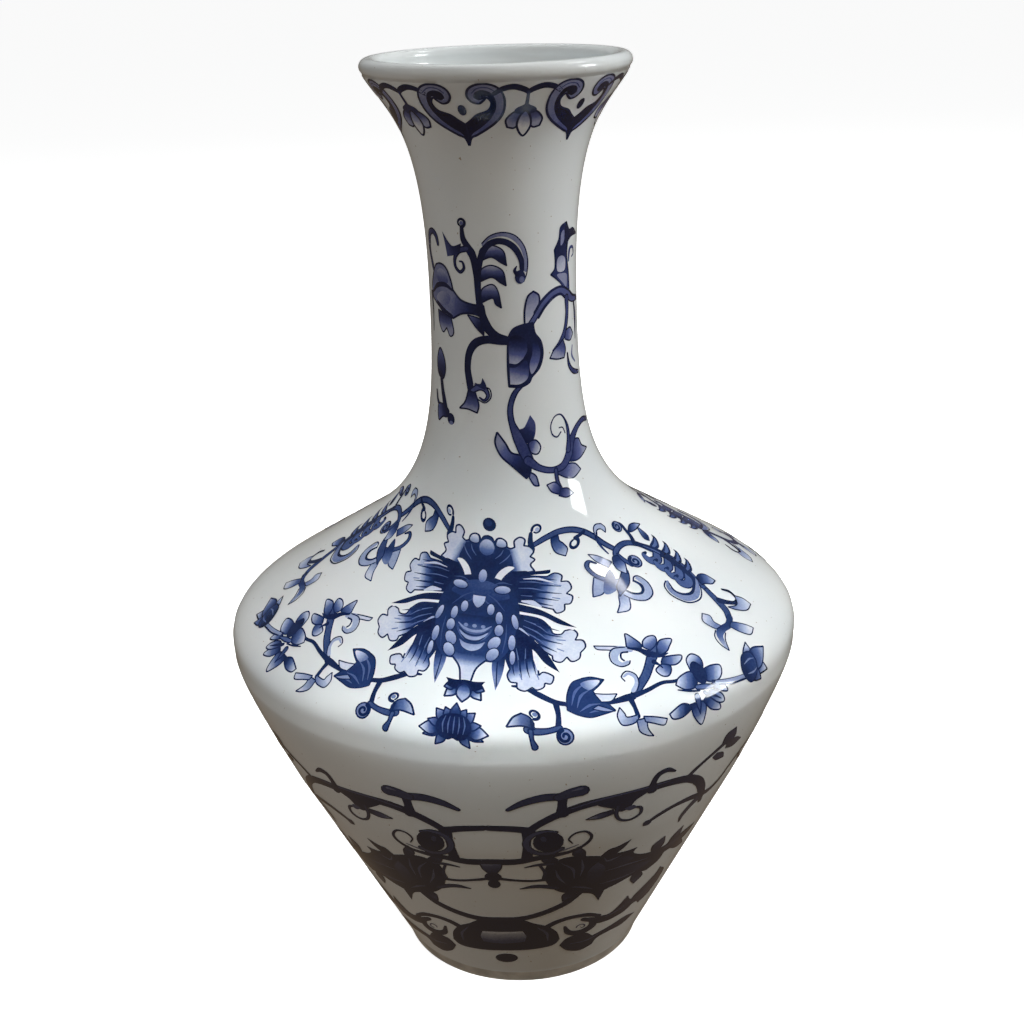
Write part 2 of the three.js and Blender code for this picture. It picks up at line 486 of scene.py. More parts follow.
def foot_ring():
    """The unglazed foot that the vase stands on, its edges rounded off with a sponge."""
    out, up, down = (1.0, 0.0), (0.0, 1.0), (0.0, -1.0)
    outer = bend((FOOT_FLAT_OUTER, 0.0), out, FOOT_ROUNDING, FOOT_EDGE, up, FOOT_ROUNDING, 8)
    inner_edge = (FOOT_INNER, FOOT_EDGE[1])
    inner = bend(inner_edge, down, FOOT_ROUNDING, (FOOT_FLAT_INNER, 0.0), out, FOOT_ROUNDING, 8)
    runs = [with_normals(inner), *edge((FOOT_FLAT_INNER, 0.0), (FOOT_FLAT_OUTER, 0.0)), with_normals(outer)]
    runs.append(wall_run(FOOT_EDGE[1], CONE_FOOT[1], 0.0, 5))
    runs.extend(edge(wall_spot(CONE_FOOT[1]), (FOOT_INNER, CONE_FOOT[1]), inner_edge))
    turned("foot_ring", runs, FOOT_CLAY)


def flat_ring(name, inner, outer, low, high):
    """A ring of slip with four flat sides."""
    corners = [(inner, low), (outer, low), (outer, high), (inner, high), (inner, low)]
    turned(name, edge(*corners), SLIP_CLAY)


def lip_rim():
    """The end of the flare with the rolled lip on it."""
    wide, tall = BEAD["half_width"], BEAD["half_height"]
    bead = []
    for a in np.radians(np.linspace(BEAD_START, BEAD_END, 60)):
        normal = unit((0, 0), (math.cos(a) / wide, math.sin(a) / tall))
        bead.append((BEAD["radius"] + wide * math.cos(a), BEAD["height"] + tall * math.sin(a), *normal))
    bead.insert(0, (*wall_spot(FLARE_TOP[1]), *bead[0][2:]))
    inside = inner_run(LIP_TUCK, LIP_JOINT[1] + SLIP, 4)
    inside.insert(0, bead[-1])
    runs = covered_upper_step(LIP_JOINT)
    runs.append(wall_run(LIP_JOINT[0], FLARE_TOP[1]))
    runs.extend([bead, inside])
    turned("lip_rim", runs, GLAZE)


def make_body():
    """The eleven fired pieces, from the foot up."""
    foot_ring()
    under_glaze = wall_spot(FLOOR_UNDERSIDE, COVER)[0]
    flat_ring("foot_slip_seam", FOOT_INNER, under_glaze, CONE_FOOT[1], FLOOR_UNDERSIDE)
    base_floor()
    flat_ring("floor_slip_seam", FLOOR_RADIUS, FLOOR_RADIUS + SLIP, FLOOR_UNDERSIDE, FLOOR_TOP)
    lower_body()
    slip_seam("belly_slip_seam", BELLY_JOINT)
    section("shoulder", BELLY_JOINT, NECK_JOINT)
    slip_seam("neck_slip_seam", NECK_JOINT)
    section("neck", NECK_JOINT, LIP_JOINT)
    slip_seam("lip_slip_seam", LIP_JOINT)
    lip_rim()


# ---------------------------------------------------------------- drawing marks on the unrolled wall
# A mark is (outline, tone). Its outline is in millimetres: x along the wall to the right, s up the wall from
# the foot edge. Its tone is one number, or (tone, point, tone, point) for a wash from one point to another.
INK = 0.92
DARK = 0.8
BLUE = 0.66
MID = 0.45
PALE = 0.26
HAZE = 0.14
BARE = 0.03
EDGE = 0.85  # both edges of a wide stroke together
THINNEST = 0.12  # of a stroke drawn inside another
CURVE_GAP = 0.45  # spacing of the samples along a curve, and their most between two of its points
MOST_STEPS = 9
LINE_GAP = 1.5  # spacing of the samples along a straight line


def through(points, closed=False):
    """A smooth curve through points (Catmull-Rom), or a straight line through two."""
    pts = np.array(points, float)
    if len(pts) == 2:
        count = max(2, int(np.linalg.norm(pts[1] - pts[0]) / LINE_GAP) + 1)
        return np.linspace(pts[0], pts[1], count)
    if closed:
        pts = np.vstack([pts[-1], pts, pts[:2]])
    else:
        pts = np.vstack([2 * pts[0] - pts[1], pts, 2 * pts[-1] - pts[-2]])
    out = []
    for p0, p1, p2, p3 in zip(pts, pts[1:], pts[2:], pts[3:]):
        count = max(2, min(MOST_STEPS, int(np.linalg.norm(p2 - p1) / CURVE_GAP) + 1))
        t = np.linspace(0, 1, count, endpoint=False)[:, None]
        out.append(0.5 * (2 * p1 + (p2 - p0) * t + (2 * p0 - 5 * p1 + 4 * p2 - p3) * t**2
                          + (3 * p1 - p0 - 3 * p2 + p3) * t**3))
    if not closed:
        out.append(pts[-2][None])
    return np.vstack(out)


def joined(runs):
    """One line through runs of points, smooth along each run. A run goes on from the last point of the one
    before it, with a corner there."""
    lines = [through(runs[0])]
    for before, run in zip(runs, runs[1:]):
        lines.append(through([before[-1], *run]))
    return np.vstack(lines)


def area(*runs, tone=DARK):
    """A filled area whose edge is the runs end to end; a single run closes smoothly."""
    if len(runs) == 1:
        return [(through(runs[0], closed=True), tone)]
    return [(joined(runs), tone)]


def headings(line):
    """The direction of a line at each of its points."""
    slope = np.gradient(line, axis=0)
    return slope / np.maximum(np.linalg.norm(slope, axis=1), 1e-9)[:, None]


def leftward(slope, width):
    """Half a width to the left of each direction."""
    return np.column_stack([-slope[:, 1], slope[:, 0]]) * width / 2


def stroke_shape(line, slope, width):
    """The outline of a stroke with round ends."""
    side = leftward(slope, width)
    turn = np.linspace(0, math.pi, 6)[1:-1, None]
    tip, tail = slope[-1] * width[-1] / 2, slope[0] * width[0] / 2
    round_tip = line[-1] + tip * np.sin(turn) + side[-1] * np.cos(turn)
    round_tail = line[0] - tail * np.sin(turn) - side[0] * np.cos(turn)
    return np.vstack([line + side, round_tip, (line - side)[::-1], round_tail])


def stroke(points, widths, tone=INK):
    """A brush stroke along a smooth line, its width easing through the given widths. One that is wide and
    not full ink is drawn as the printer draws it: a dark edge round a lighter middle."""
    line = through(points)
    share = along(line)
    width = np.interp(share / share[-1], np.linspace(0, 1, len(widths)), widths)[:, None]
    slope = headings(line)
    if tone in (DARK, BLUE) and max(widths) > 1.4:
        core = np.maximum(width - EDGE, THINNEST)
        return [(stroke_shape(line, slope, width), INK), (stroke_shape(line, slope, core), tone - 0.1)]
    return [(stroke_shape(line, slope, width), tone)]


def hook(points, widths, tone=MID):
    """A brush stroke with a full dark edge and a paler middle that runs out at its end."""
    thinner = [max(THINNEST, width - 1.0) for width in widths]
    return stroke(points, widths, INK) + stroke(points[:-1], thinner[:-1], tone)


def leaf(*runs, tone=PALE, line=0.42, ink=INK):
    """An area with a drawn outline."""
    body = area(*runs, tone=tone)
    rim = body[0][0]
    return body + outline_mark(np.vstack([rim, rim[:1]]), line, ink)


def petal(root, tip, half, tone=(DARK, PALE), line=0.45, bow=0.0):
    """A pointed leaf from root to tip, half its width either side, washed from its root tone to its tip
    tone. A bow moves its middle sideways, in half widths."""
    root, tip = np.array(root, float), np.array(tip, float)
    length = tip - root
    side = np.array([-length[1], length[0]]) / np.linalg.norm(length) * half
    middle = root + 0.55 * length + bow * side
    start = root + 0.06 * length
    wash = (tone[0], tuple(root + 0.3 * length), tone[1], tuple(root + 0.85 * length))
    return leaf([start - 0.3 * side, middle - side, tip], [middle + side, start + 0.3 * side],
                [start - 0.3 * side], tone=wash, line=line)


def outline_mark(rim, line, ink):
    """A thin drawn line along points that are already dense."""
    side = leftward(headings(rim), line)
    return [(np.vstack([rim + side, (rim - side)[::-1]]), ink)]


def thin(*runs, width=0.42, tone=INK):
    """A thin drawn line along runs of points."""
    return outline_mark(joined(runs), width, tone)


def oval(x, s, half_x, half_s, tone=INK, lean=0.0):
    """An oval, its long way leaning by an angle in degrees, positive to the left."""
    a = np.linspace(0, 2 * math.pi, 17)[:-1]
    c, d = math.cos(math.radians(lean)), math.sin(math.radians(lean))
    px, ps = half_x * np.cos(a), half_s * np.sin(a)
    return [(np.column_stack([x + c * px - d * ps, s + d * px + c * ps]), tone)]


def curl(x, s, start_radius, end_radius, start, sweep, widths, tone=INK):
    """A spiral stroke about (x, s) from an angle, in degrees, through a sweep."""
    a = np.radians(np.linspace(start, start + sweep, max(5, int(abs(sweep) / 28))))
    r = np.linspace(start_radius, end_radius, len(a))
    return stroke(np.column_stack([x + r * np.cos(a), s + r * np.sin(a)]), widths, tone)


def ball(x, s, radius):
    """A volute: an inked coil that closes on a small dark eye."""
    coil = [0.4 * radius, 0.34 * radius, 0.3 * radius]
    return (oval(x, s, radius, radius, INK) + oval(x, s, 0.8 * radius, 0.8 * radius, MID)
            + curl(x, s, 0.72 * radius, 0.2 * radius, 100, 430, coil, INK))


def carried(marks, place):
    """The marks with the points of their outlines and washes put where place says."""
    out = []
    for shape, tone in marks:
        if isinstance(tone, tuple):
            first, last = place(np.array([tone[1], tone[3]], float))
            tone = (tone[0], tuple(first), tone[2], tuple(last))
        out.append((place(shape), tone))
    return out


def mirrored(marks):
    """The marks on the other side of x = 0."""
    return carried(marks, lambda p: p * (-1, 1))


def level(marks, meridian, askew):
    """Marks drawn about a meridian (degrees), brought to the motif's own axis and levelled."""
    def place(p):
        angle = np.radians(meridian) + p[:, 0] / radius_at(p[:, 1])
        s = p[:, 1] + askew * np.sin(angle)
        return np.column_stack([angle * radius_at(s), s])

    return carried(marks, place)


# ---------------------------------------------------------------- from marks to a mesh
def inside(points, shape):
    """Which points lie inside a closed outline, by its winding number."""
    x, y = points[:, 0][:, None], points[:, 1][:, None]
    a, b = shape, np.roll(shape, -1, axis=0)
    up = (a[:, 1] <= y) & (b[:, 1] > y)
    down = (a[:, 1] > y) & (b[:, 1] <= y)
    side = (b[:, 0] - a[:, 0]) * (y - a[:, 1]) - (x - a[:, 0]) * (b[:, 1] - a[:, 1])
    return ((up & (side > 0)).sum(1) - (down & (side < 0)).sum(1)) != 0


def tone_at(tone, points):
    """A mark's tone at points: one number, or the share of the way along its wash."""
    if not isinstance(tone, tuple):
        return np.full(len(points), tone)
    t0, p0, t1, p1 = tone
    p0, p1 = np.array(p0), np.array(p1)
    share = np.clip((points - p0) @ (p1 - p0) / np.dot(p1 - p0, p1 - p0), 0, 1)
    return t0 + (t1 - t0) * share


def grid_points(low, high):
    """Staggered rows of points over a box, which let a large mark bend with the wall."""
    rows = []
    for k, s in enumerate(np.arange(low[1], high[1], ROW_STEP)):
        x = np.arange(low[0] + (k % 2) * PRINT_GRID / 2, high[0], PRINT_GRID)
        rows.append(np.column_stack([x, np.full(len(x), s)]))
    return np.vstack(rows)


def topmost(marks, middle):
    """Which mark lies on top at each point, or -1 for none."""
    owner = np.full(len(middle), -1)
    for k, (shape, _) in enumerate(marks):
        within = (middle > shape.min(0)) & (middle < shape.max(0))
        near = np.nonzero(within.all(1))[0]
        if len(near):
            owner[near[inside(middle[near], shape)]] = k
    return owner


def tessellate(marks):
    """Flat triangles that cover the marks, each with the topmost mark's tone at its corners."""
    verts, edges = [], []
    for shape, _ in marks:
        first, count = len(verts), len(shape)
        verts.extend(shape.tolist())
        edges.extend((first + k, first + (k + 1) % count) for k in range(count))
    drawn = np.array(verts)
    verts.extend(grid_points(drawn.min(0), drawn.max(0)).tolist())
    points, _, tris, *_ = delaunay_2d_cdt([Vector(v) for v in verts], edges, [], 0, 1e-4, False)
    points = np.array([tuple(p) for p in points])
    tris = np.array([t for t in tris if len(t) == 3])
    owner = topmost(marks, points[tris].mean(1))
    tris, owner = tris[owner >= 0], owner[owner >= 0]
    a, b, c = (points[tris[:, k]] for k in range(3))
    cross = (b[:, 0] - a[:, 0]) * (c[:, 1] - a[:, 1]) - (b[:, 1] - a[:, 1]) * (c[:, 0] - a[:, 0])
    tris[cross < 0] = tris[cross < 0][:, ::-1]
    sound = np.abs(cross) > 1e-5
    tris, owner = tris[sound], owner[sound]
    tones = np.empty(tris.shape)
    for k, (_, tone) in enumerate(marks):
        rows = np.nonzero(owner == k)[0]
        if len(rows):
            tones[rows] = tone_at(tone, points[tris[rows]].reshape(-1, 2)).reshape(-1, 3)
    used, flat = np.unique(tris, return_inverse=True)
    return points[used], flat.reshape(-1, 3), tones


def print_piece(name, marks, meridians, askew, material, replaced):
    """One print: the same flat drawing wrapped round the wall at each meridian, facing out. A meridian is its
    angle in degrees, and the half turn by which its askewness is out of step."""
    points, tris, tones = tessellate(marks)
    angle = points[:, 0] / radius_at(points[:, 1])
    verts, faces, normals, values = [], [], [], []
    for meridian, behind in meridians:
        s = points[:, 1] - askew * np.sin(angle + behind)
        r, z, nr, nz = wall_point(s, -PRINT_LIFT)
        turn = angle + math.radians(meridian)
        faces.append(tris + len(verts) * len(points))
        verts.append(np.column_stack([r * np.sin(turn), -r * np.cos(turn), z]) * MM)
        normal = np.column_stack([nr * np.sin(turn), -nr * np.cos(turn), nz])
        normals.append(normal[tris].reshape(-1, 3))
        values.append(tones.reshape(-1))
    piece = finish_piece(name, np.vstack(verts).tolist(), np.vstack(faces).tolist(),
                         np.vstack(normals).tolist(), material, replaced)
    tone = piece.data.attributes.new("tone", "FLOAT", "CORNER")
    tone.data.foreach_set("value", np.concatenate(values).astype(np.float32))


# ---------------------------------------------------------------- shoulder print: lotus
def streaks(runs, width=0.45, tone=0.55):
    """Fine paler hairs drawn along a dark petal."""
    marks = []
    for run in runs:
        marks += stroke(run, [0.15, width, 0.15], tone)
    return marks


def veins(runs, width=0.75):
    """Dark hairs that run out from a petal's dark base into its pale end."""
    marks = []
    for run in runs:
        marks += stroke(run, [width, 0.6 * width, 0.12], 0.9)
    return marks


def lotus_petals():
    """The three tiers of scalloped petals on the right of the lotus."""
    marks = leaf(
        [(8, 168), (10.5, 160.5), (12.1, 157)], [(11.6, 155), (12.7, 152.9), (14.6, 152.6)],
        [(15, 150.8), (17.2, 150), (19, 151.2)], [(20.4, 150.4), (22.2, 151.2), (22.4, 152.6)],
        [(24.2, 152.4), (24.6, 154.6), (23, 155.8)], [(21.4, 156.2), (20.4, 155.2)],
        [(18.8, 162), (15, 168)], tone=(0.95, (14.6, 160), HAZE, (16.6, 155)), line=0.5)
    marks += streaks(
        [[(13, 164), (14, 160.4), (14.6, 157)], [(15.6, 164), (16, 160.4), (16.4, 157)],
        [(12, 162), (12.8, 159), (13.4, 156.6)]], 0.4)
    marks += veins(
        [[(12.8, 160), (12.9, 157.4), (13.6, 155)], [(14.4, 160), (15, 157), (15.8, 154.4)],
        [(16.2, 160.4), (17, 157), (18, 154.4)], [(18, 160.6), (18.8, 157.8), (19.6, 155.4)]])
    marks += thin([(15, 155.6), (15.9, 153.6)], width=0.35, tone=MID)
    marks += thin([(19.8, 155.6), (20.6, 153.8)], width=0.35, tone=MID)
    marks += leaf(
        [(10, 176), (18, 174.4), (21.6, 171.4)], [(22.8, 169.2), (25, 168.8), (26, 170)],
        [(28.2, 170.2), (29.8, 168.6), (29.4, 166.6)], [(31.6, 166.2), (32.6, 164), (31.4, 162.2)],
        [(31.2, 160.2), (29.2, 159.4), (27.6, 161)], [(26.2, 159.4), (24, 160), (23.4, 161.6)],
        [(18, 165), (12, 168)], tone=(0.95, (18.6, 168.6), HAZE, (24.6, 165.8)), line=0.5)
    marks += streaks(
        [[(14, 173.8), (18, 172), (21.4, 169.2)], [(14, 171.8), (18, 169.8), (21.6, 167)],
        [(14.6, 169.8), (18, 167.8), (21.6, 165)]])
    marks += veins(
        [[(18, 172.4), (21, 171.2), (24.4, 170)], [(18.4, 170.4), (21.6, 168.8), (25.6, 167.8)],
        [(18.6, 168), (22, 166.6), (26, 165.4)], [(18.6, 166), (21.6, 164.4), (24.6, 162.8)]], 0.9)
    marks += thin([(24, 167), (26.6, 166.6)], width=0.35, tone=MID)
    marks += thin([(24.4, 164), (26.6, 163)], width=0.35, tone=MID)
    marks += leaf(
        [(6, 187.4), (13, 189.4), (18.6, 189.4)], [(20.6, 190.6), (22.8, 189.6), (22.9, 187.4)],
        [(25, 187.2), (26.2, 184.8), (25, 183)], [(26.9, 181.8), (26.6, 179.4), (24.9, 179.2)],
        [(25, 177), (23, 176.2), (21.8, 177.6)], [(15, 179.4), (7, 180.6)],
        tone=(0.95, (16, 185), HAZE, (21.4, 184)), line=0.5)
    marks += streaks(
        [[(11, 187.2), (15, 187.4), (19, 186.6)], [(11, 185), (15, 185), (19.4, 184)],
        [(12, 182.4), (15.6, 182.2), (19.4, 181.4)]])
    marks += veins(
        [[(15.6, 188.2), (18.6, 188.4), (21.6, 188)], [(15.6, 186.2), (19, 186.2), (23, 185.6)],
        [(15.6, 184), (19.4, 183.6), (23.6, 183)], [(15.6, 182), (19, 181.4), (23, 180.6)],
        [(15.4, 180.4), (18.4, 179.6), (21.6, 178.8)]], 0.9)
    marks += thin([(21, 186.4), (23.2, 185.8)], width=0.35, tone=MID)
    marks += thin([(21, 181.8), (23.4, 181.2)], width=0.35, tone=MID)
    marks += stroke([(12, 188.4), (16, 188.6), (20.6, 187.2)], [0.2, 0.8, 0.3], HAZE)
    marks += stroke([(12.6, 180.4), (15.4, 180), (18.2, 178.6)], [0.6, 1.7, 0.5], HAZE)
    marks += stroke([(10.4, 171.6), (13.4, 170.4), (16, 168.4)], [0.3, 1.1, 0.3], 0.3)
    marks += stroke([(8.4, 179.9), (11.4, 179), (14, 177.4)], [0.7, 1.5, 0.4], 0.2)
    return marks


def lotus_blades():
    """The dark pointed leaves between the petals on the right, each with a bare line under it."""
    marks = stroke([(13.5, 177.6), (19, 175.6), (24, 172.2), (28.4, 170.2)], [0.5, 1.6, 0.9, 0.4], BARE)
    marks += stroke([(13, 169), (17.5, 166.2), (21.2, 161.6), (24.8, 157)], [0.4, 1.5, 1.3, 0.5], BARE)
    marks += stroke([(17.8, 164), (19, 160.8), (20.2, 157.4)], [0.6, 1.6, 1.2], BARE)
    marks += area(
        [(9, 180), (17, 178), (22.6, 175), (29.4, 170.7)], [(24, 172.4), (18.6, 175.4), (11, 177)],
        tone=0.97)
    marks += area(
        [(10, 172.5), (16, 168.4), (21.6, 162.8), (26.2, 155.9)],
        [(21.6, 159.2), (17.6, 163.8), (11, 168)], tone=0.97)
    marks += area(
        [(5.5, 186.6), (9.5, 190.7), (12.6, 192.2)], [(14.3, 191.3), (19.3, 191.9)],
        [(19, 190.5), (15, 190), (10, 188.6), (6.6, 185.2)], tone=0.97)
    marks += area(
        [(6.7, 162), (7.0, 156.5), (8.9, 149.7)], [(10, 154), (10.4, 159), (9.9, 168)],
        tone=(INK, (9.6, 160), MID, (7.2, 156)))
    marks += thin([(8.2, 163), (8.4, 157), (9.0, 151)], width=0.35, tone=INK)
    return marks


def lotus_crown():
    """The pale upper petals on the right, with the drop-shaped gap beside the dark flame."""
    marks = leaf(
        [(0, 194), (0, 201.7)], [(1.3, 201.2), (2.1, 199.7)],
        [(2.9, 201.3), (4.3, 201.5), (5.5, 200.6), (5.7, 199.2)], [(7, 198.6), (8.2, 199.2)],
        [(7.9, 201.3), (9.4, 202.7), (10.9, 202), (10.8, 200)],
        [(12.4, 199.8), (13.8, 198.3), (13, 196.4)], [(14.4, 195.4), (13.4, 193.6), (14.8, 191.4)],
        [(9, 189.6), (5, 187)], tone=(0.82, (7, 194.6), HAZE, (9.6, 195.6)), line=0.55)
    marks += area(
        [(0, 184), (0, 198.6)], [(1.9, 197.6), (2.6, 198.8), (4.5, 198.6), (6.8, 198.2)],
        [(7.8, 195.6), (8.4, 192.6), (5.6, 191.4), (4, 188.4), (3.4, 184)],
        tone=(0.84, (7, 198), 0.93, (3, 192)))
    marks += leaf(
        [(2.6, 199), (2.9, 201.1), (4.3, 201.5), (5.6, 200.6), (5.8, 199), (4.2, 198.4)],
        tone=(0.1, (4, 201), 0.4, (4, 198.6)), line=0.5)
    marks += streaks(
        [[(4.4, 193), (6.2, 195), (7.6, 197.4)], [(3, 194.6), (4.4, 196.2), (5, 197.8)]], 0.4)
    marks += area(
        [(4.8, 184.6), (5.8, 188.6), (8.6, 190.9)], [(12.8, 191.2), (11, 188.6), (7, 184.4)],
        [(4.8, 184.6)], tone=0.97)
    marks += area(
        [(8.9, 192.2), (7, 192.4), (4.9, 190.6), (3.7, 188), (3.6, 185.6), (4.9, 185.8), (6.2, 188.6),
        (7.6, 190.6)], tone=(0.02, (7.5, 192), 0.1, (4, 186)))
    return marks


def lotus_beads():
    """Pale beads on the right of the dark heart."""
    marks = []
    for x, s, half_x, half_s, lean in (
            (4.0, 176.6, 1.05, 1.9, 4), (6.8, 173.9, 1.0, 2.2, 6), (7.3, 169.7, 1.25, 1.9, 4),
            (6.5, 165.3, 1.6, 2.3, -26), (6.5, 161.4, 1.6, 2.2, -26), (11.5, 173, 0.85, 2.6, 18),
            (11.5, 165.8, 1.0, 2.6, 6), (12.3, 160.8, 0.75, 2.3, 6), (6.5, 183.9, 2.3, 1.35, 4)):
        marks += oval(x, s, half_x + 0.35, half_s + 0.4, 0.93, lean)
        marks += oval(x, s, half_x, half_s, (0.5, (x, s - half_s), 0.2, (x, s + half_s)), lean)
    return marks


def lotus_heart():
    """The dark middle of the lotus, its shield, crescents and the bell under them."""
    marks = area(
        [(0, 155), (3.5, 158.5), (6.8, 158.8), (9, 160), (11.5, 165), (12.5, 175), (11, 181), (8, 186),
        (3, 188), (-3, 188), (-8, 186), (-11, 181), (-12.5, 175), (-11.5, 165), (-9, 160), (-6.8, 158.8),
        (-3.5, 158.5)], tone=(0.93, (0, 185), 0.8, (0, 161)))
    marks += area(
        [(-5.6, 185), (0, 186.6), (5.6, 185), (9, 181.4), (6, 180), (3, 178.6), (0, 179.6), (-3, 178.6),
        (-6, 180), (-9, 181.4)], tone=(0.72, (0, 184), 0.82, (0, 179)))
    for side in (-1, 1):
        marks += streaks(
            [[(2 * side, 182), (5 * side, 180), (8 * side, 176.6)],
            [(1.6 * side, 180), (3 * side, 178.6), (4.8 * side, 178)],
            [(9.2 * side, 172), (9.6 * side, 167), (9.2 * side, 162)],
            [(3 * side, 185), (6 * side, 186.4), (9 * side, 186)]], 0.5, 0.7)
    marks += area(
        [(-5.6, 174), (5.6, 174)],
        [(5.4, 169.4), (3.2, 166), (0, 164.8), (-3.2, 166), (-5.4, 169.4), (-5.6, 174)],
        tone=(0.93, (0, 173.4), 0.6, (0, 167)))
    for x in (-2.6, 0, 2.6):
        marks += oval(x, 170.4, 0.7, 0.6, 0.45)
    for s, half, depth, width, tone in (
            (170.8, 4.9, 2.2, 0.9, 0.4), (169.4, 4.6, 2.2, 0.6, INK), (168.3, 4.2, 2.2, 1.1, 0.34),
            (166.9, 3.5, 1.8, 0.6, INK)):
        marks += stroke(
            [(-half, s), (-half * 0.55, s - depth * 0.75), (0, s - depth),
            (half * 0.55, s - depth * 0.75), (half, s)], [0.3, width, width, width, 0.3], tone)
    marks += area(
        [(-3.9, 165.4), (-1.6, 164.3), (1.6, 164.3), (3.9, 165.4)],
        [(2.6, 163), (0, 161.9), (-2.6, 163), (-3.9, 165.4)], tone=(0.42, (0, 165), 0.24, (0, 162)))
    marks += area(
        [(-6.4, 160.8), (-4, 162.4), (-2, 161.6), (0, 161.2), (2, 161.6), (4, 162.4), (6.4, 160.8)],
        [(4.2, 158.4), (2.5, 156), (1.6, 152.4)], [(-1.6, 152.4)],
        [(-2.5, 156), (-4.2, 158.4), (-6.4, 160.8)], tone=(DARK, (0, 160.8), HAZE, (0, 156.6)))
    for side in (-1, 1):
        marks += stroke(
            [(6.6 * side, 160.6), (4.3 * side, 158.6), (2.4 * side, 156), (1.6 * side, 152.2)],
            [0.7, 0.6, 0.6], INK)
    marks += area(
        [(-1.9, 180.9), (1.9, 180.9)], [(1.6, 178.6), (0, 176.8), (-1.6, 178.6), (-1.9, 180.9)],
        tone=(0.18, (0, 181), 0.36, (0, 177)))
    marks += oval(0, 188, 1.25, 2.3, (0.22, (0, 190), 0.5, (0, 186)))
    marks += area(
        [(-2.3, 198.2), (-1.4, 199.9), (0, 200.5), (1.4, 199.9), (2.3, 198.2), (1.9, 196.2), (0, 195.2),
        (-1.9, 196.2)], tone=(0.2, (0, 200), 0.66, (0, 195.6)))
    marks += thin(
        [(-2.2, 196), (-2.5, 198.4), (-1.3, 200.4), (0, 201), (1.3, 200.4), (2.5, 198.4), (2.2, 196)],
        width=0.35, tone=DARK)
    marks += oval(0, 205.3, 2.1, 2.15, INK)
    marks += oval(-0.3, 205.8, 1.1, 1.1, 0.78)
    return marks


def lotus_tail():
    """The calyx under the lotus."""
    marks = []
    for side in (-1, 1):
        marks += petal((1.2 * side, 150.6), (5.4 * side, 146.2), 1.5, (DARK, HAZE), 0.6)
        marks += petal((2.2 * side, 150.4), (5.9 * side, 149.2), 1.3, (INK, MID), 0.55)
    marks += area(
        [(-5.8, 152.3), (-2.8, 152), (0, 152.3), (2.8, 152), (5.8, 152.3)], [(5.0, 151), (5.3, 149.9)],
        [(2.6, 148.9), (0, 150), (-2.6, 148.9)], [(-5.3, 149.9)], [(-5.0, 151), (-5.8, 152.3)], tone=0.97)
    marks += leaf(
        [(0, 151.4), (1.8, 149.6), (1.9, 147.2), (0, 145.1)], [(-1.9, 147.2), (-1.8, 149.6), (0, 151.4)],
        tone=(INK, (0, 151), 0.3, (0, 147.6)), line=0.6)
    return marks


def rosette():
    """The small many-petalled flower low on the shoulder."""
    half = petal((1.4, 136.6), (5.0, 131.9), 1.25, (INK, 0.5), 0.5)
    half += petal((2.4, 136.4), (8.8, 134.2), 1.1, (INK, 0.5), 0.5)
    half += petal((2.6, 136.8), (10.1, 136), 1.9, (INK, HAZE), 0.5)
    half += petal((2.6, 137.6), (7.8, 138.6), 1.2, (INK, MID), 0.5)
    half += petal((1.6, 138), (5.7, 142.2), 1.6, (INK, 0.4), 0.5)
    half += petal((0.8, 138.6), (3.1, 143), 1.4, (INK, 0.55), 0.5)
    core = petal((0, 138), (0, 144.7), 1.5, (INK, BLUE), 0.5)
    core += area(
        [(-5.2, 137.4), (-3.6, 140.4), (0, 141.4), (3.6, 140.4), (5.2, 137.4), (4.2, 134.8), (1.6, 133.7),
        (0, 134.2), (-1.6, 133.7), (-4.2, 134.8)], tone=0.95)
    for x in (-3.2, -1.6, 0, 1.6, 3.2):
        core += stroke([(0.8 * x, 140.4), (x, 138), (0.9 * x, 135.6)], [0.15, 0.45, 0.15], 0.62)
    return carried(half + mirrored(half) + core, lambda p: p + (ROSETTE_SHIFT, 0))


# ---------------------------------------------------------------- shoulder print: scrolls to the right
def upper_vine():
    """The vine that leaves the crown of the lotus, drawn about the lotus meridian."""
    marks = stroke(
        [(12.6, 197.2), (14.5, 198.4), (18, 200.2), (22, 201.4), (26.5, 201.1), (31, 199.4), (35, 196.8),
        (39, 193.6), (43, 190.8)], [1.6, 2.1, 2.2, 2.1, 1.9, 1.8, 1.7, 1.7, 1.6], DARK)
    marks += curl(27.4, 196.6, 1.7, 1.2, 80, -330, [1.3, 1.1, 0.7], INK)
    marks += stroke([(30.8, 199.4), (29.4, 198.8), (27.6, 198.3)], [1.4, 1.2, 1.2], INK)
    marks += stroke([(13.8, 196.6), (13, 199.4), (12.9, 202)], [1.9, 1.7, 1.2], INK)
    marks += curl(14.6, 203.2, 1.5, 1.1, 190, -320, [0.9, 0.7, 0.5], INK)
    marks += oval(14.8, 203.1, 0.7, 0.7, PALE)
    marks += leaf(
        [(19.4, 199.6), (20, 197), (21.6, 194.6), (24.8, 193)], [(25.2, 195.4), (23.6, 197.4)],
        [(22.2, 198.6), (21.8, 200.2)], tone=(DARK, (20.5, 199), PALE, (24, 194)))
    return marks


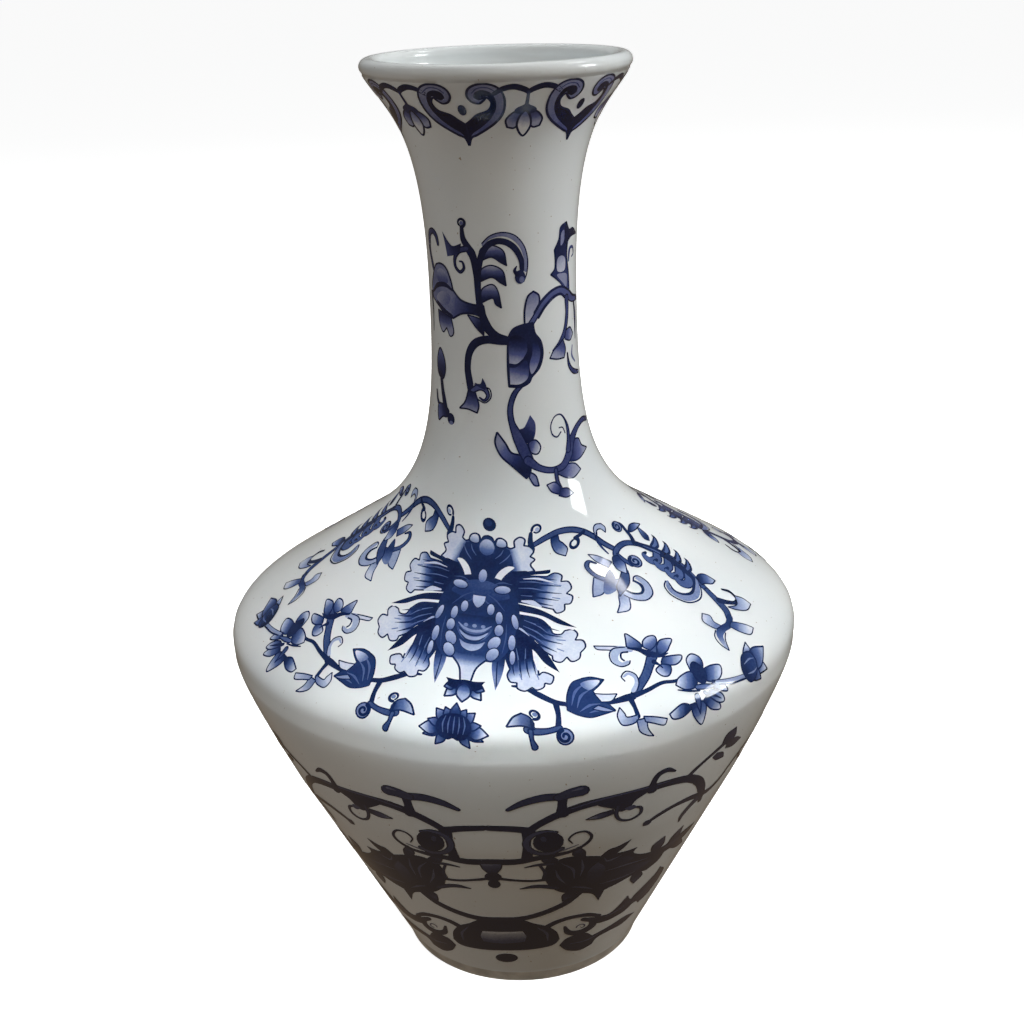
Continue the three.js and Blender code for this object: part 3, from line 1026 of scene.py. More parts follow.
def hanging_spray():
    """The stem under the scroll's top, its hooks and drooping leaves, drawn about the scroll's meridian."""
    marks = stroke(
        [(-9, 179.4), (-12.6, 181), (-15.4, 184), (-15.6, 187.6), (-13.6, 189.4), (-12, 188.2)],
        [2.2, 2.2, 2.0, 1.8, 1.5, 0.8], DARK)
    marks += leaf(
        [(-6.8, 187), (-9.4, 190.4), (-12, 191.8)], [(-11.4, 188.6), (-9.4, 185.4)], [(-6.8, 187)],
        tone=(BLUE, (-8, 187), HAZE, (-11.6, 190.6)))
    marks += stroke([(-5.6, 190), (-5.9, 193), (-5.6, 195.6), (-4, 198)], [0.6, 0.9, 1.0, 0.9], DARK)
    marks += leaf(
        [(-5.6, 196), (-4.2, 199.2), (-2.4, 200.4), (-0.2, 200)], [(0.4, 198.4), (-0.8, 196.8)],
        [(-1.6, 198.4), (-3.4, 198.4), (-5.6, 196)], tone=PALE)
    marks += leaf(
        [(-16.4, 183.6), (-19.6, 180), (-21.8, 177)], [(-18, 177.4), (-14, 180.6)], [(-16.4, 183.6)],
        tone=0.3, ink=DARK)
    marks += area(
        [(-9.6, 184.6), (-13.4, 182.4), (-17.4, 178), (-16.6, 176.6), (-12.6, 177.6), (-10.6, 180.6)],
        tone=(DARK, (-12, 181), MID, (-16, 178)))
    marks += leaf(
        [(-11, 178.4), (-14.4, 175), (-16.2, 172.4), (-19.2, 169.8)],
        [(-15, 169.6), (-12.4, 172.4), (-10.8, 176)], tone=(0.55, (-12, 177), 0.14, (-16, 171)), ink=DARK)
    marks += stroke(
        [(-12, 176.4), (-10.4, 173.6), (-7, 172.1), (-4, 173.2), (-2.9, 176), (-3.6, 178.6)],
        [1.2, 2.2, 2.8, 2.8, 2.4, 1.4], 0.3)
    marks += thin(
        [(-12.6, 175), (-10.6, 172.2), (-7, 170.7), (-3.2, 172), (-1.6, 175.6), (-2.6, 179),
        (-4.4, 179.4), (-6, 178)], width=0.5)
    marks += stroke(
        [(-11, 177), (-9.6, 174.6), (-7, 173.5), (-5.2, 174.4), (-4.6, 176.2), (-5.4, 178)],
        [1.0, 0.9, 0.8, 0.9, 1.2, 0.9], INK)
    marks += stroke(
        [(-4.6, 185), (-5.8, 182), (-8.4, 179.4), (-11.4, 177.4), (-14, 175)], [1.8, 2.8, 3.6, 3.2, 0.6],
        DARK)
    return marks


def leafy_scroll():
    """The big scroll that runs down the shoulder, drawn about its own meridian."""
    marks = stroke(
        [(-5.2, 181.6), (-4.4, 185), (-3.6, 188.6), (-0.6, 190.6), (3.4, 190.8), (7.4, 188.6),
        (10.4, 184.8), (13.4, 181), (15.4, 176.4), (16.6, 171), (17.2, 165), (17.2, 159.6)],
        [0.5, 2.0, 2.2, 2.2, 2.2, 2.0, 2.4, 4.2, 4.6, 3.0, 2.6, 2.8], DARK)
    marks += leaf(
        [(-5.6, 181.2), (-3.2, 184.6), (-2.2, 188)], [(-5, 188.4), (-7, 186)],
        [(-7.2, 183.6), (-5.6, 181.2)], tone=(DARK, (-3, 187), PALE, (-6, 183)))
    marks += stroke([(-2.6, 188.6), (-2.4, 186), (-1.4, 183.4)], [1.2, 2.0, 1.8], DARK)
    marks += ball(0.8, 184, 2.6)
    marks += stroke([(6.6, 189.4), (7.6, 191.8), (7.6, 194.2)], [2.0, 1.6, 1.4], INK)
    marks += leaf(
        [(7.8, 193.4), (10.6, 194.9), (13.6, 194.6), (16.6, 192.9)], [(13, 192.6), (9.6, 192.8)],
        [(7.8, 193.4)], tone=(INK, (9, 194), PALE, (15, 193.6)))
    marks += stroke([(7.6, 194.2), (7.4, 196.6), (5.6, 198.2)], [1.4, 1.4, 1.0], INK)
    marks += ball(5.1, 196.8, 2.1)
    marks += leaf(
        [(13.8, 193), (14.8, 191), (15.2, 188.6), (13.6, 187)],
        [(12.4, 188.4), (12.6, 190.4), (13.8, 193)], tone=(INK, (13, 188), MID, (14, 192)))
    for x, s in ((12.4, 183.6), (14, 179.6), (15.2, 175.4), (16, 171.6)):
        marks += hook(
            [(x, s), (x - 3, s - 2.8), (x - 6, s - 1.8), (x - 6.4, s + 0.8), (x - 4.8, s + 1.2)],
            [2.6, 3.9, 3.6, 2.4, 1.0], 0.62)
    for x, s in ((12.6, 184.8), (14.8, 180.8), (16, 176.4), (16.8, 172.2)):
        marks += hook(
            [(x, s), (x + 2.4, s + 0.2), (x + 4.4, s + 1.6), (x + 4.6, s + 3)], [2.6, 3.2, 2.2, 0.4],
            0.66)
    marks += stroke(
        [(7.4, 188.8), (11.4, 184.6), (14.2, 180), (15.8, 174), (16.6, 168)], [1.6, 2.2, 3.0, 2.6, 1.6],
        INK)
    marks += stroke([(9, 187), (12, 183.2), (14.4, 178.6), (15.8, 173.6)], [0.3, 0.7, 0.7, 0.3], 0.6)
    marks += stroke([(13.2, 181.4), (15, 177.6), (15.8, 173.4)], [1.0, 2.4, 1.2], INK)
    return marks


def scroll_foot():
    """The hooks and the forked end of the big scroll, drawn about the same meridian."""
    marks = stroke(
        [(16.8, 168), (13.6, 165.6), (10, 164.6), (6.2, 165.6), (4, 168.6), (3.8, 171.2), (5.4, 173)],
        [1.4, 2.4, 2.9, 2.6, 2.2, 1.8, 1.0], 0.42)
    marks += thin(
        [(16.6, 166), (13.4, 163.4), (10, 162.6), (5.4, 164), (2.4, 168.2), (2.6, 172), (5, 173.6)],
        width=0.55)
    marks += stroke(
        [(16.8, 168.8), (13.4, 166.8), (10, 165.8), (6.6, 167), (4.8, 169.4), (5.4, 172.4)],
        [1.2, 1.0, 1.1, 0.9, 0.8, 0.5], INK)
    marks += leaf(
        [(17.6, 168.4), (20.6, 168.4), (23.4, 166.8), (25.2, 163.2)],
        [(22.2, 163.4), (19.4, 165), (17.4, 165.6)], tone=(INK, (18, 167), PALE, (24.2, 164)), line=0.5)
    marks += stroke([(17.2, 163), (17.2, 158), (16.8, 154.6), (14.6, 151.8)], [2.6, 3.0, 3.2, 2.6], DARK)
    marks += stroke(
        [(18, 158.4), (21, 156), (24, 154.2), (26.4, 154.6), (26.6, 157.4), (24, 160)],
        [2.4, 1.8, 1.5, 1.3, 1.3, 0.8], INK)
    marks += leaf(
        [(19, 155), (21.6, 152.4), (26, 149.9), (30.6, 149.9)], [(29.6, 153), (27, 155.6)],
        [(24, 153.4), (19, 155)], tone=(MID, (22, 153.6), HAZE, (29, 151)))
    marks += stroke(
        [(15.8, 152.4), (12.4, 150.9), (9, 151), (6, 150.2), (4.6, 147.6), (4, 144.6)],
        [2.4, 2.4, 2.4, 2.6, 1.8, 0.5], (DARK, (10, 151), 0.3, (4.6, 147)))
    marks += thin(
        [(8.6, 149.6), (6.2, 147.8), (4.1, 144.4)], [(3, 147.6), (3.6, 150.4), (6, 152)], width=0.45)
    marks += leaf(
        [(9.4, 152), (8.2, 154.4), (8.8, 156.6), (6.8, 158.6)], [(4.6, 156.6), (5.4, 153.8), (6.6, 152)],
        tone=(MID, (7.6, 153), HAZE, (6, 157)))
    marks += leaf(
        [(12.2, 150.2), (14.4, 146.8), (17.6, 144.2), (21.2, 145)], [(19.2, 147.4), (16.4, 149.8)],
        [(14.4, 151), (12.2, 150.2)], tone=(BLUE, (13.6, 149.6), 0.1, (19, 146)))
    return marks


def low_bud():
    """The lower stem's big bud and the T-shaped scroll under it, drawn about the low meridian."""
    marks = stroke(
        [(-34.6, 150.4), (-31.6, 149.8), (-28.6, 147.4), (-25, 144.6), (-21.6, 143.4)],
        [0.7, 1.6, 2.1, 1.8, 1.4], INK)
    marks += leaf(
        [(-22.4, 141.6), (-20.8, 146), (-17.8, 149.9), (-14.2, 151)], [(-11.6, 150.9), (-8.4, 149.4)],
        [(-10.6, 147.8), (-13, 146.4)], [(-12.4, 144), (-10.6, 142.2), (-9, 139.4)],
        [(-13, 138.9), (-16.8, 138.6), (-20, 139.8), (-22.4, 141.6)], tone=DARK)
    marks += streaks(
        [[(-20.6, 143), (-18, 147), (-14, 149.4)], [(-19.4, 142), (-17, 145.4), (-13.4, 147.2)],
        [(-19, 140.8), (-15.6, 142.2), (-12.6, 142.2)], [(-16.6, 140), (-13.6, 140.4), (-11, 140)]], 0.8,
        0.58)
    marks += area(
        [(-15.6, 149.2), (-13, 150), (-9.8, 149.4), (-11.6, 147.8), (-14.2, 147)],
        tone=(0.5, (-14.6, 147.6), 0.1, (-10.6, 149.4)))
    marks += leaf(
        [(-13, 145.6), (-10, 144.8), (-6.6, 144.2)], [(-9, 142.4), (-12, 142.6)], [(-13, 145.6)],
        tone=HAZE, line=0.4)
    marks += leaf(
        [(-15.4, 141), (-12, 139.6), (-9.2, 139.2)], [(-11, 140.4), (-13.4, 141.8)], [(-15.4, 141)],
        tone=0.4, line=0.35)
    marks += stroke([(-24.8, 143.8), (-25.4, 140.4), (-26.6, 137)], [1.8, 1.4, 1.7], INK)
    marks += stroke(
        [(-26.2, 136.8), (-29.4, 136.2), (-33, 136.2), (-35.4, 136.8)], [1.8, 1.8, 2.2, 2.4], DARK)
    marks += leaf(
        [(-33.6, 136.8), (-36.4, 138), (-40.9, 137.9)], [(-38.2, 140.6), (-35.4, 141.8)],
        [(-33.6, 140.6), (-33, 138.6)], [(-33.6, 136.8)], tone=(DARK, (-34, 138), PALE, (-39.6, 138.6)),
        line=0.55)
    marks += stroke([(-34.6, 136.4), (-34.8, 134), (-34.2, 131.8)], [1.8, 1.4, 2.2], DARK)
    marks += curl(-32, 141.2, 1.5, 1.0, 250, 330, [1.0, 0.8, 0.6], INK)
    marks += oval(-31.8, 141.2, 0.7, 0.7, MID)
    marks += stroke([(-33.6, 137.2), (-33.4, 139.4)], [1.2, 0.8], INK)
    marks += ball(-25.4, 134.2, 2.6)
    return marks


def palmette():
    """The open palmette in the middle of the lower stem, drawn about the low meridian."""
    marks = leaf(
        [(3.4, 157.8), (-1.2, 159.4), (-6.6, 160.8)], [(-6, 159.4), (-2.4, 158.3), (2.2, 156.4)],
        [(3.4, 157.8)], tone=HAZE)
    marks += stroke(
        [(3.6, 156.8), (0.4, 158), (-1.8, 156.6), (-2.4, 154.6), (-1, 153), (1, 153.3)],
        [1.4, 2.0, 2.4, 2.2, 1.4, 0.9], 0.28)
    marks += thin(
        [(2.4, 158.2), (-1.4, 158.6), (-3.4, 156.8), (-3.6, 154.2), (-1.6, 152.3), (1, 152.5),
        (1.9, 153.6)], width=0.45)
    marks += thin([(2.6, 156.4), (0.4, 156.6), (-0.4, 155), (0.2, 153.8)], width=0.6)
    for run in (
            [(2.8, 158.2), (3.6, 160.4), (4.4, 162.4), (6, 160.6), (7.6, 157.6), (6, 156)],
            [(7.8, 156.6), (8.6, 158.4), (10.8, 159.4), (13.2, 158.8), (12.8, 156.6), (10, 154.8)],
            [(12, 155.4), (14.4, 157), (18.2, 156), (16.2, 154), (14.4, 152.8), (11.6, 152.6)],
            [(12.4, 151.6), (15.6, 151), (18.6, 150), (17.6, 148.6), (14.8, 148), (11, 149.6)],
            [(10.8, 149.6), (8.2, 148.4), (9, 146.2), (11, 145.4), (12.8, 146.6), (13.2, 148.4)]):
        tip, root = (run[2], run[-1])
        marks += leaf(run + [run[0]], tone=(0.82, root, HAZE, tip), line=0.5)
    marks += stroke(
        [(-2.6, 142.2), (0.6, 144.8), (4.2, 147.6), (7.2, 150.8), (9.6, 153.4), (12.2, 155.8)],
        [2.0, 2.8, 2.9, 3.0, 3.6, 0.6], DARK)
    marks += stroke([(8.4, 154), (6, 156.2), (3, 157.6)], [2.4, 1.4, 0.5], INK)
    marks += stroke([(9.6, 153.4), (12, 152.2), (14.6, 152.2)], [2.2, 1.2, 0.4], INK)
    marks += stroke([(8.8, 151), (10, 149.6), (10.6, 148.4)], [1.6, 0.8, 0.4], INK)
    marks += stroke(
        [(-1.6, 144), (0.4, 145.8), (0.9, 148), (-0.6, 149.6), (-2.4, 149)], [1.2, 1.4, 1.2, 1.0, 0.6],
        PALE)
    marks += thin(
        [(-0.4, 143.8), (1.2, 146), (1.4, 148.8), (-0.8, 150.5), (-3, 149.2), (-2.6, 147.4)], width=0.45)
    marks += stroke(
        [(-22, 143), (-15, 142.2), (-10, 142), (-4, 142.4), (2, 143), (8, 144), (13, 143.2), (19, 144)],
        [1.0, 1.0, 1.2, 2.2, 1.4, 1.2, 1.1, 1.2], INK)
    marks += stroke([(-3.4, 141.6), (-3.2, 139), (-3.2, 136.4)], [1.8, 1.3, 1.5], INK)
    marks += leaf(
        [(-3.4, 135.2), (-5.8, 134.6), (-8.6, 135), (-9.2, 137.6), (-7.6, 140)],
        [(-6.8, 138), (-6.4, 136.8), (-3, 136.8)], tone=(MID, (-4, 136), HAZE, (-8, 138)))
    marks += leaf(
        [(-4, 135.4), (-3.6, 132.2), (-1.2, 130.2), (1, 129.4)],
        [(-0.4, 131.4), (-1, 133), (-0.8, 135.4)], tone=(MID, (-2.6, 135), HAZE, (-0.4, 130.6)))
    marks += leaf(
        [(-1.6, 136), (2, 135), (5.6, 133.6)], [(4.4, 132), (1, 133.4), (-1.4, 134.4)],
        tone=(MID, (-1, 135.4), HAZE, (4.6, 133)))
    return marks


def side_flower():
    """The second flower on the lower stem and the stem beyond it, drawn about the low meridian."""
    marks = []
    for run, root, tip in (
            ([(19, 144.6), (19.4, 148), (22, 149.2), (24.4, 147.2), (24.2, 144.6), (22, 143)],
             (22, 143.4), (21.8, 148.6)),
            ([(12, 142), (14, 143.8), (18.4, 144.4), (20.2, 142), (18, 139.4), (14.4, 139.8)],
             (20, 142), (13, 142)),
            ([(23.4, 143.4), (27, 143.4), (30.2, 142.2), (29.4, 139.8), (26.6, 138.6), (22.6, 140)],
             (23, 141.6), (29.6, 141)),
            ([(14.2, 135.2), (14.8, 131.8), (17.8, 127.8), (19.2, 130), (19.4, 134.6)],
             (17, 135.4), (17.6, 128.6)),
            ([(19, 134.8), (21.6, 131.6), (25.4, 130.2), (25, 132.4), (21.4, 135.6)],
             (20, 135), (25, 130.8)),
            ([(20.4, 136.4), (24.4, 132.8), (27.2, 132.2), (26.6, 134.6), (23.4, 136.8)],
             (21, 136), (26.8, 133)),
            ([(23.2, 138), (26.4, 135.6), (29.2, 134.6), (28.6, 136.8), (25.6, 138.6)],
             (23.6, 137.6), (28.8, 135.4)),
            ([(6.6, 134.6), (7.6, 132.9), (11, 132.6), (14.4, 134.4), (11.6, 136.2)],
             (13, 135), (7.4, 133.8))):
        marks += leaf(run + [run[0]], tone=(0.9, root, HAZE, tip), line=0.5)
    marks += area(
        [(19.4, 145.6), (21.6, 146.8), (24, 143.6), (23.6, 140.6), (21.6, 139.2), (19.4, 141)], tone=0.93)
    marks += stroke([(12, 140.4), (15.4, 139), (19, 137.9)], [0.4, 0.7, 0.5], INK)
    marks += stroke([(17.4, 136.6), (17.2, 134), (17.4, 131.4)], [2.4, 1.8, 0.3], DARK)
    marks += stroke([(20.4, 137), (23.4, 135.2), (26, 133.4)], [1.2, 0.9, 0.3], INK)
    marks += stroke([(18.6, 139.2), (21.6, 138.4), (24.8, 137.6)], [1.8, 2.0, 1.0], BLUE)
    marks += thin([(24.6, 139.2), (29, 137.9), (34, 136.8), (39, 136)], width=0.5)
    marks += thin([(26.6, 137.4), (31, 136), (36, 135.2), (41, 134.6)], width=0.6)
    marks += stroke([(26, 138.2), (31, 136.9), (36, 136), (41, 135.2)], [0.9, 1.0, 1.0, 1.0], 0.35)
    marks += petal((40, 136.8), (50.6, 133), 2.4, (INK, HAZE), 0.55, 0.5)
    marks += petal((40, 137.4), (45.6, 143.6), 2.6, (INK, HAZE), 0.55, -0.5)
    marks += petal((39.4, 136.8), (53, 139), 3.0, (INK, 0.3), 0.55)
    marks += petal((39.4, 136.2), (46.4, 131.6), 2.0, (INK, MID), 0.55, 0.4)
    marks += leaf(
        [(38.4, 135.2), (38.2, 138), (40.6, 141), (44.6, 140.8), (46, 137.4), (43.6, 133.6), (40.6, 133)],
        tone=(INK, (40, 136), 0.7, (46, 138)), line=0.5)
    marks += streaks(
        [[(40, 138.6), (43, 139), (45.4, 138.4)], [(40, 135.6), (43, 135.2), (45, 135.6)]], 0.6, 0.45)
    return marks


def shoulder_marks():
    """The lotus with its vines and stems on both sides, earlier marks under later ones."""
    half = lotus_petals() + lotus_blades() + lotus_crown()
    right = level(upper_vine(), 0, SHOULDER_ASKEW)
    right += level(hanging_spray() + leafy_scroll() + scroll_foot(), SCROLL_MERIDIAN, SHOULDER_ASKEW)
    right += level(palmette() + side_flower() + low_bud(), LOW_MERIDIAN, SHOULDER_ASKEW)
    beads = lotus_beads()
    marks = right + mirrored(right) + half + mirrored(half)
    return marks + lotus_heart() + beads + mirrored(beads) + lotus_tail() + rosette()


# ---------------------------------------------------------------- neck print
def acanthus():
    """The tall banded leaf that folds over at its top."""
    marks = []
    for bottom, top, tip in ((271.8, 278.9, -0.6), (278.4, 284.6, 1.0), (284.4, 290.6, 1.3)):
        tall = top - bottom
        marks += leaf(
            [(-6.8, bottom + 0.35 * tall), (-6.2, bottom + 0.8 * tall), (-3.2, top),
            (tip - 0.9, bottom + 0.72 * tall), (tip, bottom)],
            [(tip - 1.7, bottom + 0.16 * tall), (-3.2, bottom + 0.42 * tall), (-6.8, bottom + 0.2 * tall)],
            tone=(0.24, (-3, top - 0.4), INK, (-3, bottom + 0.36 * tall)))
    marks += stroke(
        [(0.5, 262.2), (-2.6, 263.4), (-5.2, 266.2), (-6.6, 270.6), (-7.1, 276), (-7, 282), (-6.3, 286.8),
        (-4.4, 290.2), (-1.6, 291.7), (1.4, 291.3), (4, 289.2), (5.6, 286), (5.9, 283)],
        [2.2, 2.6, 2.9, 2.0, 1.3, 1.2, 1.4, 2.0, 1.9, 1.9, 1.9, 1.7, 1.5], INK)
    marks += stroke(
        [(-5.6, 290.6), (-3.4, 292.8), (0.2, 293.7), (3.4, 292.6), (5.9, 289.8), (7, 286), (6.9, 282.6)],
        [0.5, 1.0, 1.2, 1.2, 1.2, 1.1, 0.9], 0.4)
    marks += thin(
        [(-5.9, 291), (-3.2, 293.4), (0.4, 294.3), (4, 293.2), (6.6, 290), (7.6, 286), (7.3, 282),
        (6.2, 279.2)], width=0.4)
    marks += oval(5.2, 280.8, 1.6, 2.1, DARK) + oval(5.7, 280, 0.8, 1.0, MID)
    marks += stroke([(4.4, 281.6), (3.6, 282.8), (4.2, 284)], [1.4, 1.0, 0.4], INK)
    return marks


def neck_leaf():
    """The broad leaf on the left of the acanthus and the lobes under it."""
    marks = leaf(
        [(-5.4, 268.4), (-9, 269.8), (-13, 269.6), (-16.6, 267.8)],
        [(-19.6, 268.4), (-23, 270.4), (-27, 272.6)], [(-27.4, 276.4), (-26, 280)],
        [(-24, 283), (-21, 283.8), (-18.6, 282.6), (-17, 279.4), (-16.2, 276.4)],
        [(-13.4, 273.8), (-9.6, 272.7), (-6, 272.4)], [(-5.4, 268.4)],
        tone=(INK, (-8, 271), 0.42, (-17, 273.4)), line=0.6)
    marks += area(
        [(-18.2, 278.4), (-19.4, 281.6), (-22, 282.2), (-24, 280), (-22, 277.6)],
        tone=(0.3, (-21, 282), 0.6, (-20.6, 278.4)))
    marks += stroke(
        [(-16.2, 276.2), (-19.6, 277.6), (-23.6, 276.8), (-26.6, 274.4)], [0.6, 1.5, 1.5, 0.8], INK)
    marks += area(
        [(-17.4, 274.4), (-20, 275.6), (-23, 274.6), (-24.4, 272.6), (-21, 271.4), (-18.2, 272)],
        tone=(0.26, (-23, 274), 0.5, (-18, 273)))
    marks += stroke([(-17, 268.4), (-20.6, 269.8), (-24, 271.8)], [0.8, 1.3, 0.8], INK)
    marks += leaf(
        [(-23.8, 269.4), (-23.4, 265.4), (-21.6, 262.8), (-19.6, 264.4)],
        [(-18.2, 262), (-16.6, 263.4), (-17.4, 267.8)], [(-20, 268.6), (-23.8, 269.4)],
        tone=(DARK, (-20.6, 268), PALE, (-20.4, 264)))
    marks += leaf(
        [(-6.2, 263.4), (-8.6, 265.8), (-11.2, 269.4)], [(-8.8, 269), (-6, 268)], [(-6.2, 263.4)],
        tone=(INK, (-7, 266), MID, (-10.4, 269)))
    marks += stroke([(-28, 274), (-27.6, 268), (-28, 262)], [1.2, 0.8, 0.4], INK)
    return marks


def neck_tendrils():
    """The thin Y-shaped tendril beside the acanthus and the hook at the left."""
    marks = stroke(
        [(-7.8, 272.6), (-8.1, 278), (-8.2, 284), (-8.8, 287.4), (-10.4, 290), (-11.7, 292.4),
        (-12, 295.6)], [0.9, 0.9, 1.1, 2.0, 2.6, 1.9, 1.2], INK)
    marks += curl(-12.1, 297, 1.25, 1.0, -90, 330, [1.0, 0.8, 0.5], INK) + oval(-12, 296.9, 0.6, 0.6, MID)
    marks += stroke(
        [(-10.6, 289.4), (-13.2, 288.6), (-14.8, 286.4), (-14.8, 283.8), (-13.2, 282.2), (-11.8, 283.4),
        (-12.2, 285.2), (-13.2, 285.4)], [2.0, 1.9, 1.5, 1.1, 1.0, 1.1, 0.9, 0.5], DARK)
    marks += area(
        [(-12.4, 290.8), (-15.4, 289.8), (-17.2, 291), (-19.5, 293.8)], [(-18.6, 290.4), (-17.8, 286.4)],
        [(-15.4, 287), (-13, 288)], [(-12.4, 290.8)], tone=(INK, (-13, 290), 0.6, (-17.6, 287)))
    marks += stroke(
        [(-22, 289.6), (-22.8, 292), (-24.8, 293.2), (-27, 291.8), (-27.6, 287.4), (-26.4, 283.4),
        (-24.8, 279.4)], [1.3, 1.9, 2.1, 1.8, 1.4, 1.6, 1.0], DARK)
    return marks


def neck_branch():
    """The branch that bows out to the left and ends in a curl and a spreading foot."""
    marks = stroke(
        [(4, 261.4), (-1, 261.7), (-5.4, 262.2), (-9, 260.9), (-11.2, 257.6), (-11.9, 253),
        (-11.4, 248.6), (-11, 244.6)], [2.2, 2.2, 2.5, 2.6, 2.3, 2.2, 2.4, 2.0], INK)
    marks += stroke(
        [(-10.6, 246.2), (-8.4, 247.4), (-6.4, 246.8), (-5.6, 244.8), (-6.8, 243.4), (-8.2, 244.2)],
        [1.8, 2.2, 1.9, 1.4, 1.0, 0.6], BLUE)
    marks += thin(
        [(-9.6, 248.6), (-7.2, 247.6), (-5, 247), (-4.7, 244.4), (-6.6, 242.7), (-8.8, 243.6)], width=0.4)
    marks += area(
        [(-10.4, 248.4), (-8, 248.4), (-7.1, 250.4)], [(-6, 248), (-6.4, 246.6)], [(-10.4, 248.4)],
        tone=DARK)
    marks += leaf(
        [(-12, 246), (-13.2, 242.6), (-15.4, 240.2)], [(-12.4, 240.3), (-9.2, 239.4)],
        [(-8.6, 242), (-9.6, 245.6)], [(-12, 246)], tone=(DARK, (-10.8, 244.6), 0.32, (-11.4, 240.6)),
        line=0.5)
    return marks


def neck_bud():
    """The heavy hanging bud in the middle, its loop leaf and the arch to the right."""
    marks = leaf(
        [(6.2, 266.4), (6.3, 270.6), (7.3, 274.6), (9.2, 276.1)],
        [(11, 274.6), (10.9, 271.8), (9.2, 269), (8.8, 266)], [(6.2, 266.4)],
        tone=(HAZE, (8, 268), MID, (9.6, 275.4)), line=0.6)
    marks += stroke(
        [(7.6, 265.6), (10, 268.8), (12.6, 272), (16, 274.3), (19.6, 274.8), (23, 273), (26, 271),
        (31, 270)], [2.0, 2.0, 2.1, 2.2, 2.3, 2.9, 2.2, 1.4], BLUE)
    marks += thin(
        [(9.2, 269.6), (11.8, 273), (15.6, 275.5), (19.8, 276), (24, 274), (27, 272), (31, 270.8)],
        width=0.5)
    marks += thin([(10.6, 267.6), (13.2, 270.8), (16.4, 273), (19.4, 273.5), (21.6, 272)], width=0.5)
    marks += stroke(
        [(22.6, 272), (22.6, 267), (21.4, 262.4), (19, 259), (16, 256.8)], [2.4, 1.9, 1.9, 2.0, 1.3],
        DARK)
    marks += leaf(
        [(18.4, 258.4), (16, 257), (14.4, 254.8)], [(17.4, 254), (20.6, 253.8)],
        [(21.4, 256.4), (20.2, 259.6)], [(18.4, 258.4)], tone=(BLUE, (19, 258), 0.24, (17.6, 254.8)),
        line=0.5)
    marks += leaf(
        [(21.6, 262), (24.4, 262.4), (26.4, 260)], [(24.2, 258.4), (21.2, 259.4)], [(21.6, 262)],
        tone=(BLUE, (22, 261), PALE, (25.6, 260.2)), line=0.5)
    marks += leaf(
        [(1, 262.6), (2.6, 265.2), (5.4, 266.3), (8.8, 266.6)],
        [(9.4, 263.4), (11.3, 260.6), (11.9, 256.8), (10.7, 252.8), (8, 250.1)],
        [(7, 248.4), (4.4, 247.4), (0.9, 247.7)], [(0.7, 254), (1, 262.6)], tone=INK, line=0.6)
    marks += area(
        [(8.6, 262.6), (10.4, 259.8), (11, 256.6), (9.9, 253.2), (8, 251), (7.4, 254), (8.4, 257.6)],
        tone=(INK, (9, 261), 0.3, (8.6, 252)))
    marks += area(
        [(1.2, 254.9), (1.3, 261.6), (3, 263.4), (6, 262), (6.8, 258.6), (5.4, 256)],
        [(3.4, 254.6), (1.2, 254.9)], tone=(0.97, (4, 262), 0.26, (2.4, 255.4)))
    marks += area(
        [(1.2, 253.6), (3.4, 253.6), (6.2, 255.4), (7.3, 253)],
        [(6.6, 249.8), (4.2, 248.3), (1.3, 248.4)], [(1.2, 253.6)],
        tone=(DARK, (4.6, 254), HAZE, (3, 248.8)))
    return marks


def neck_cluster():
    """The upright leaf cluster at the right of the arch and the strokes beyond it."""
    marks = leaf(
        [(24.4, 272.6), (24, 279), (23, 284.6), (23.6, 289)], [(26, 290.2), (30.4, 290.2)],
        [(27, 292.4), (24.4, 292.4), (22.8, 295)], [(19.8, 293.8), (19, 290.4), (17, 287.4)],
        [(17.3, 284), (17, 281.6), (15.4, 280.2)], [(17.6, 278.6), (20.4, 276), (21.6, 273)],
        [(24.4, 272.6)], tone=(BLUE, (21, 276), INK, (21, 289)), line=0.5)
    marks += area(
        [(18.3, 280.8), (21.6, 280.6), (22, 284), (20, 285.2), (18.2, 284.2)],
        tone=(HAZE, (20, 281), 0.3, (20, 285)))
    marks += area([(18, 279.6), (21, 276.6), (22.6, 275.4), (22.8, 279), (20.4, 279.8)], tone=0.34)
    marks += area([(19.8, 288.4), (21.4, 289.4), (21.6, 292.6), (20.2, 292)], tone=0.42)
    marks += stroke(
        [(24, 283), (24.8, 286.4), (27, 286.6), (27.6, 284.6), (26.2, 283.8)], [0.8, 1.2, 1.0, 0.8, 0.5],
        BLUE)
    marks += stroke([(27.4, 270.6), (28.6, 265), (28.4, 258)], [1.2, 1.7, 0.5], DARK)
    marks += stroke([(22.4, 254.8), (23.2, 251), (25.8, 248.4), (30.4, 247)], [0.7, 1.6, 1.9, 1.3], DARK)
    marks += stroke([(25.6, 256.4), (25.2, 253.4), (27.4, 251)], [0.6, 1.0, 0.6], MID)
    return marks


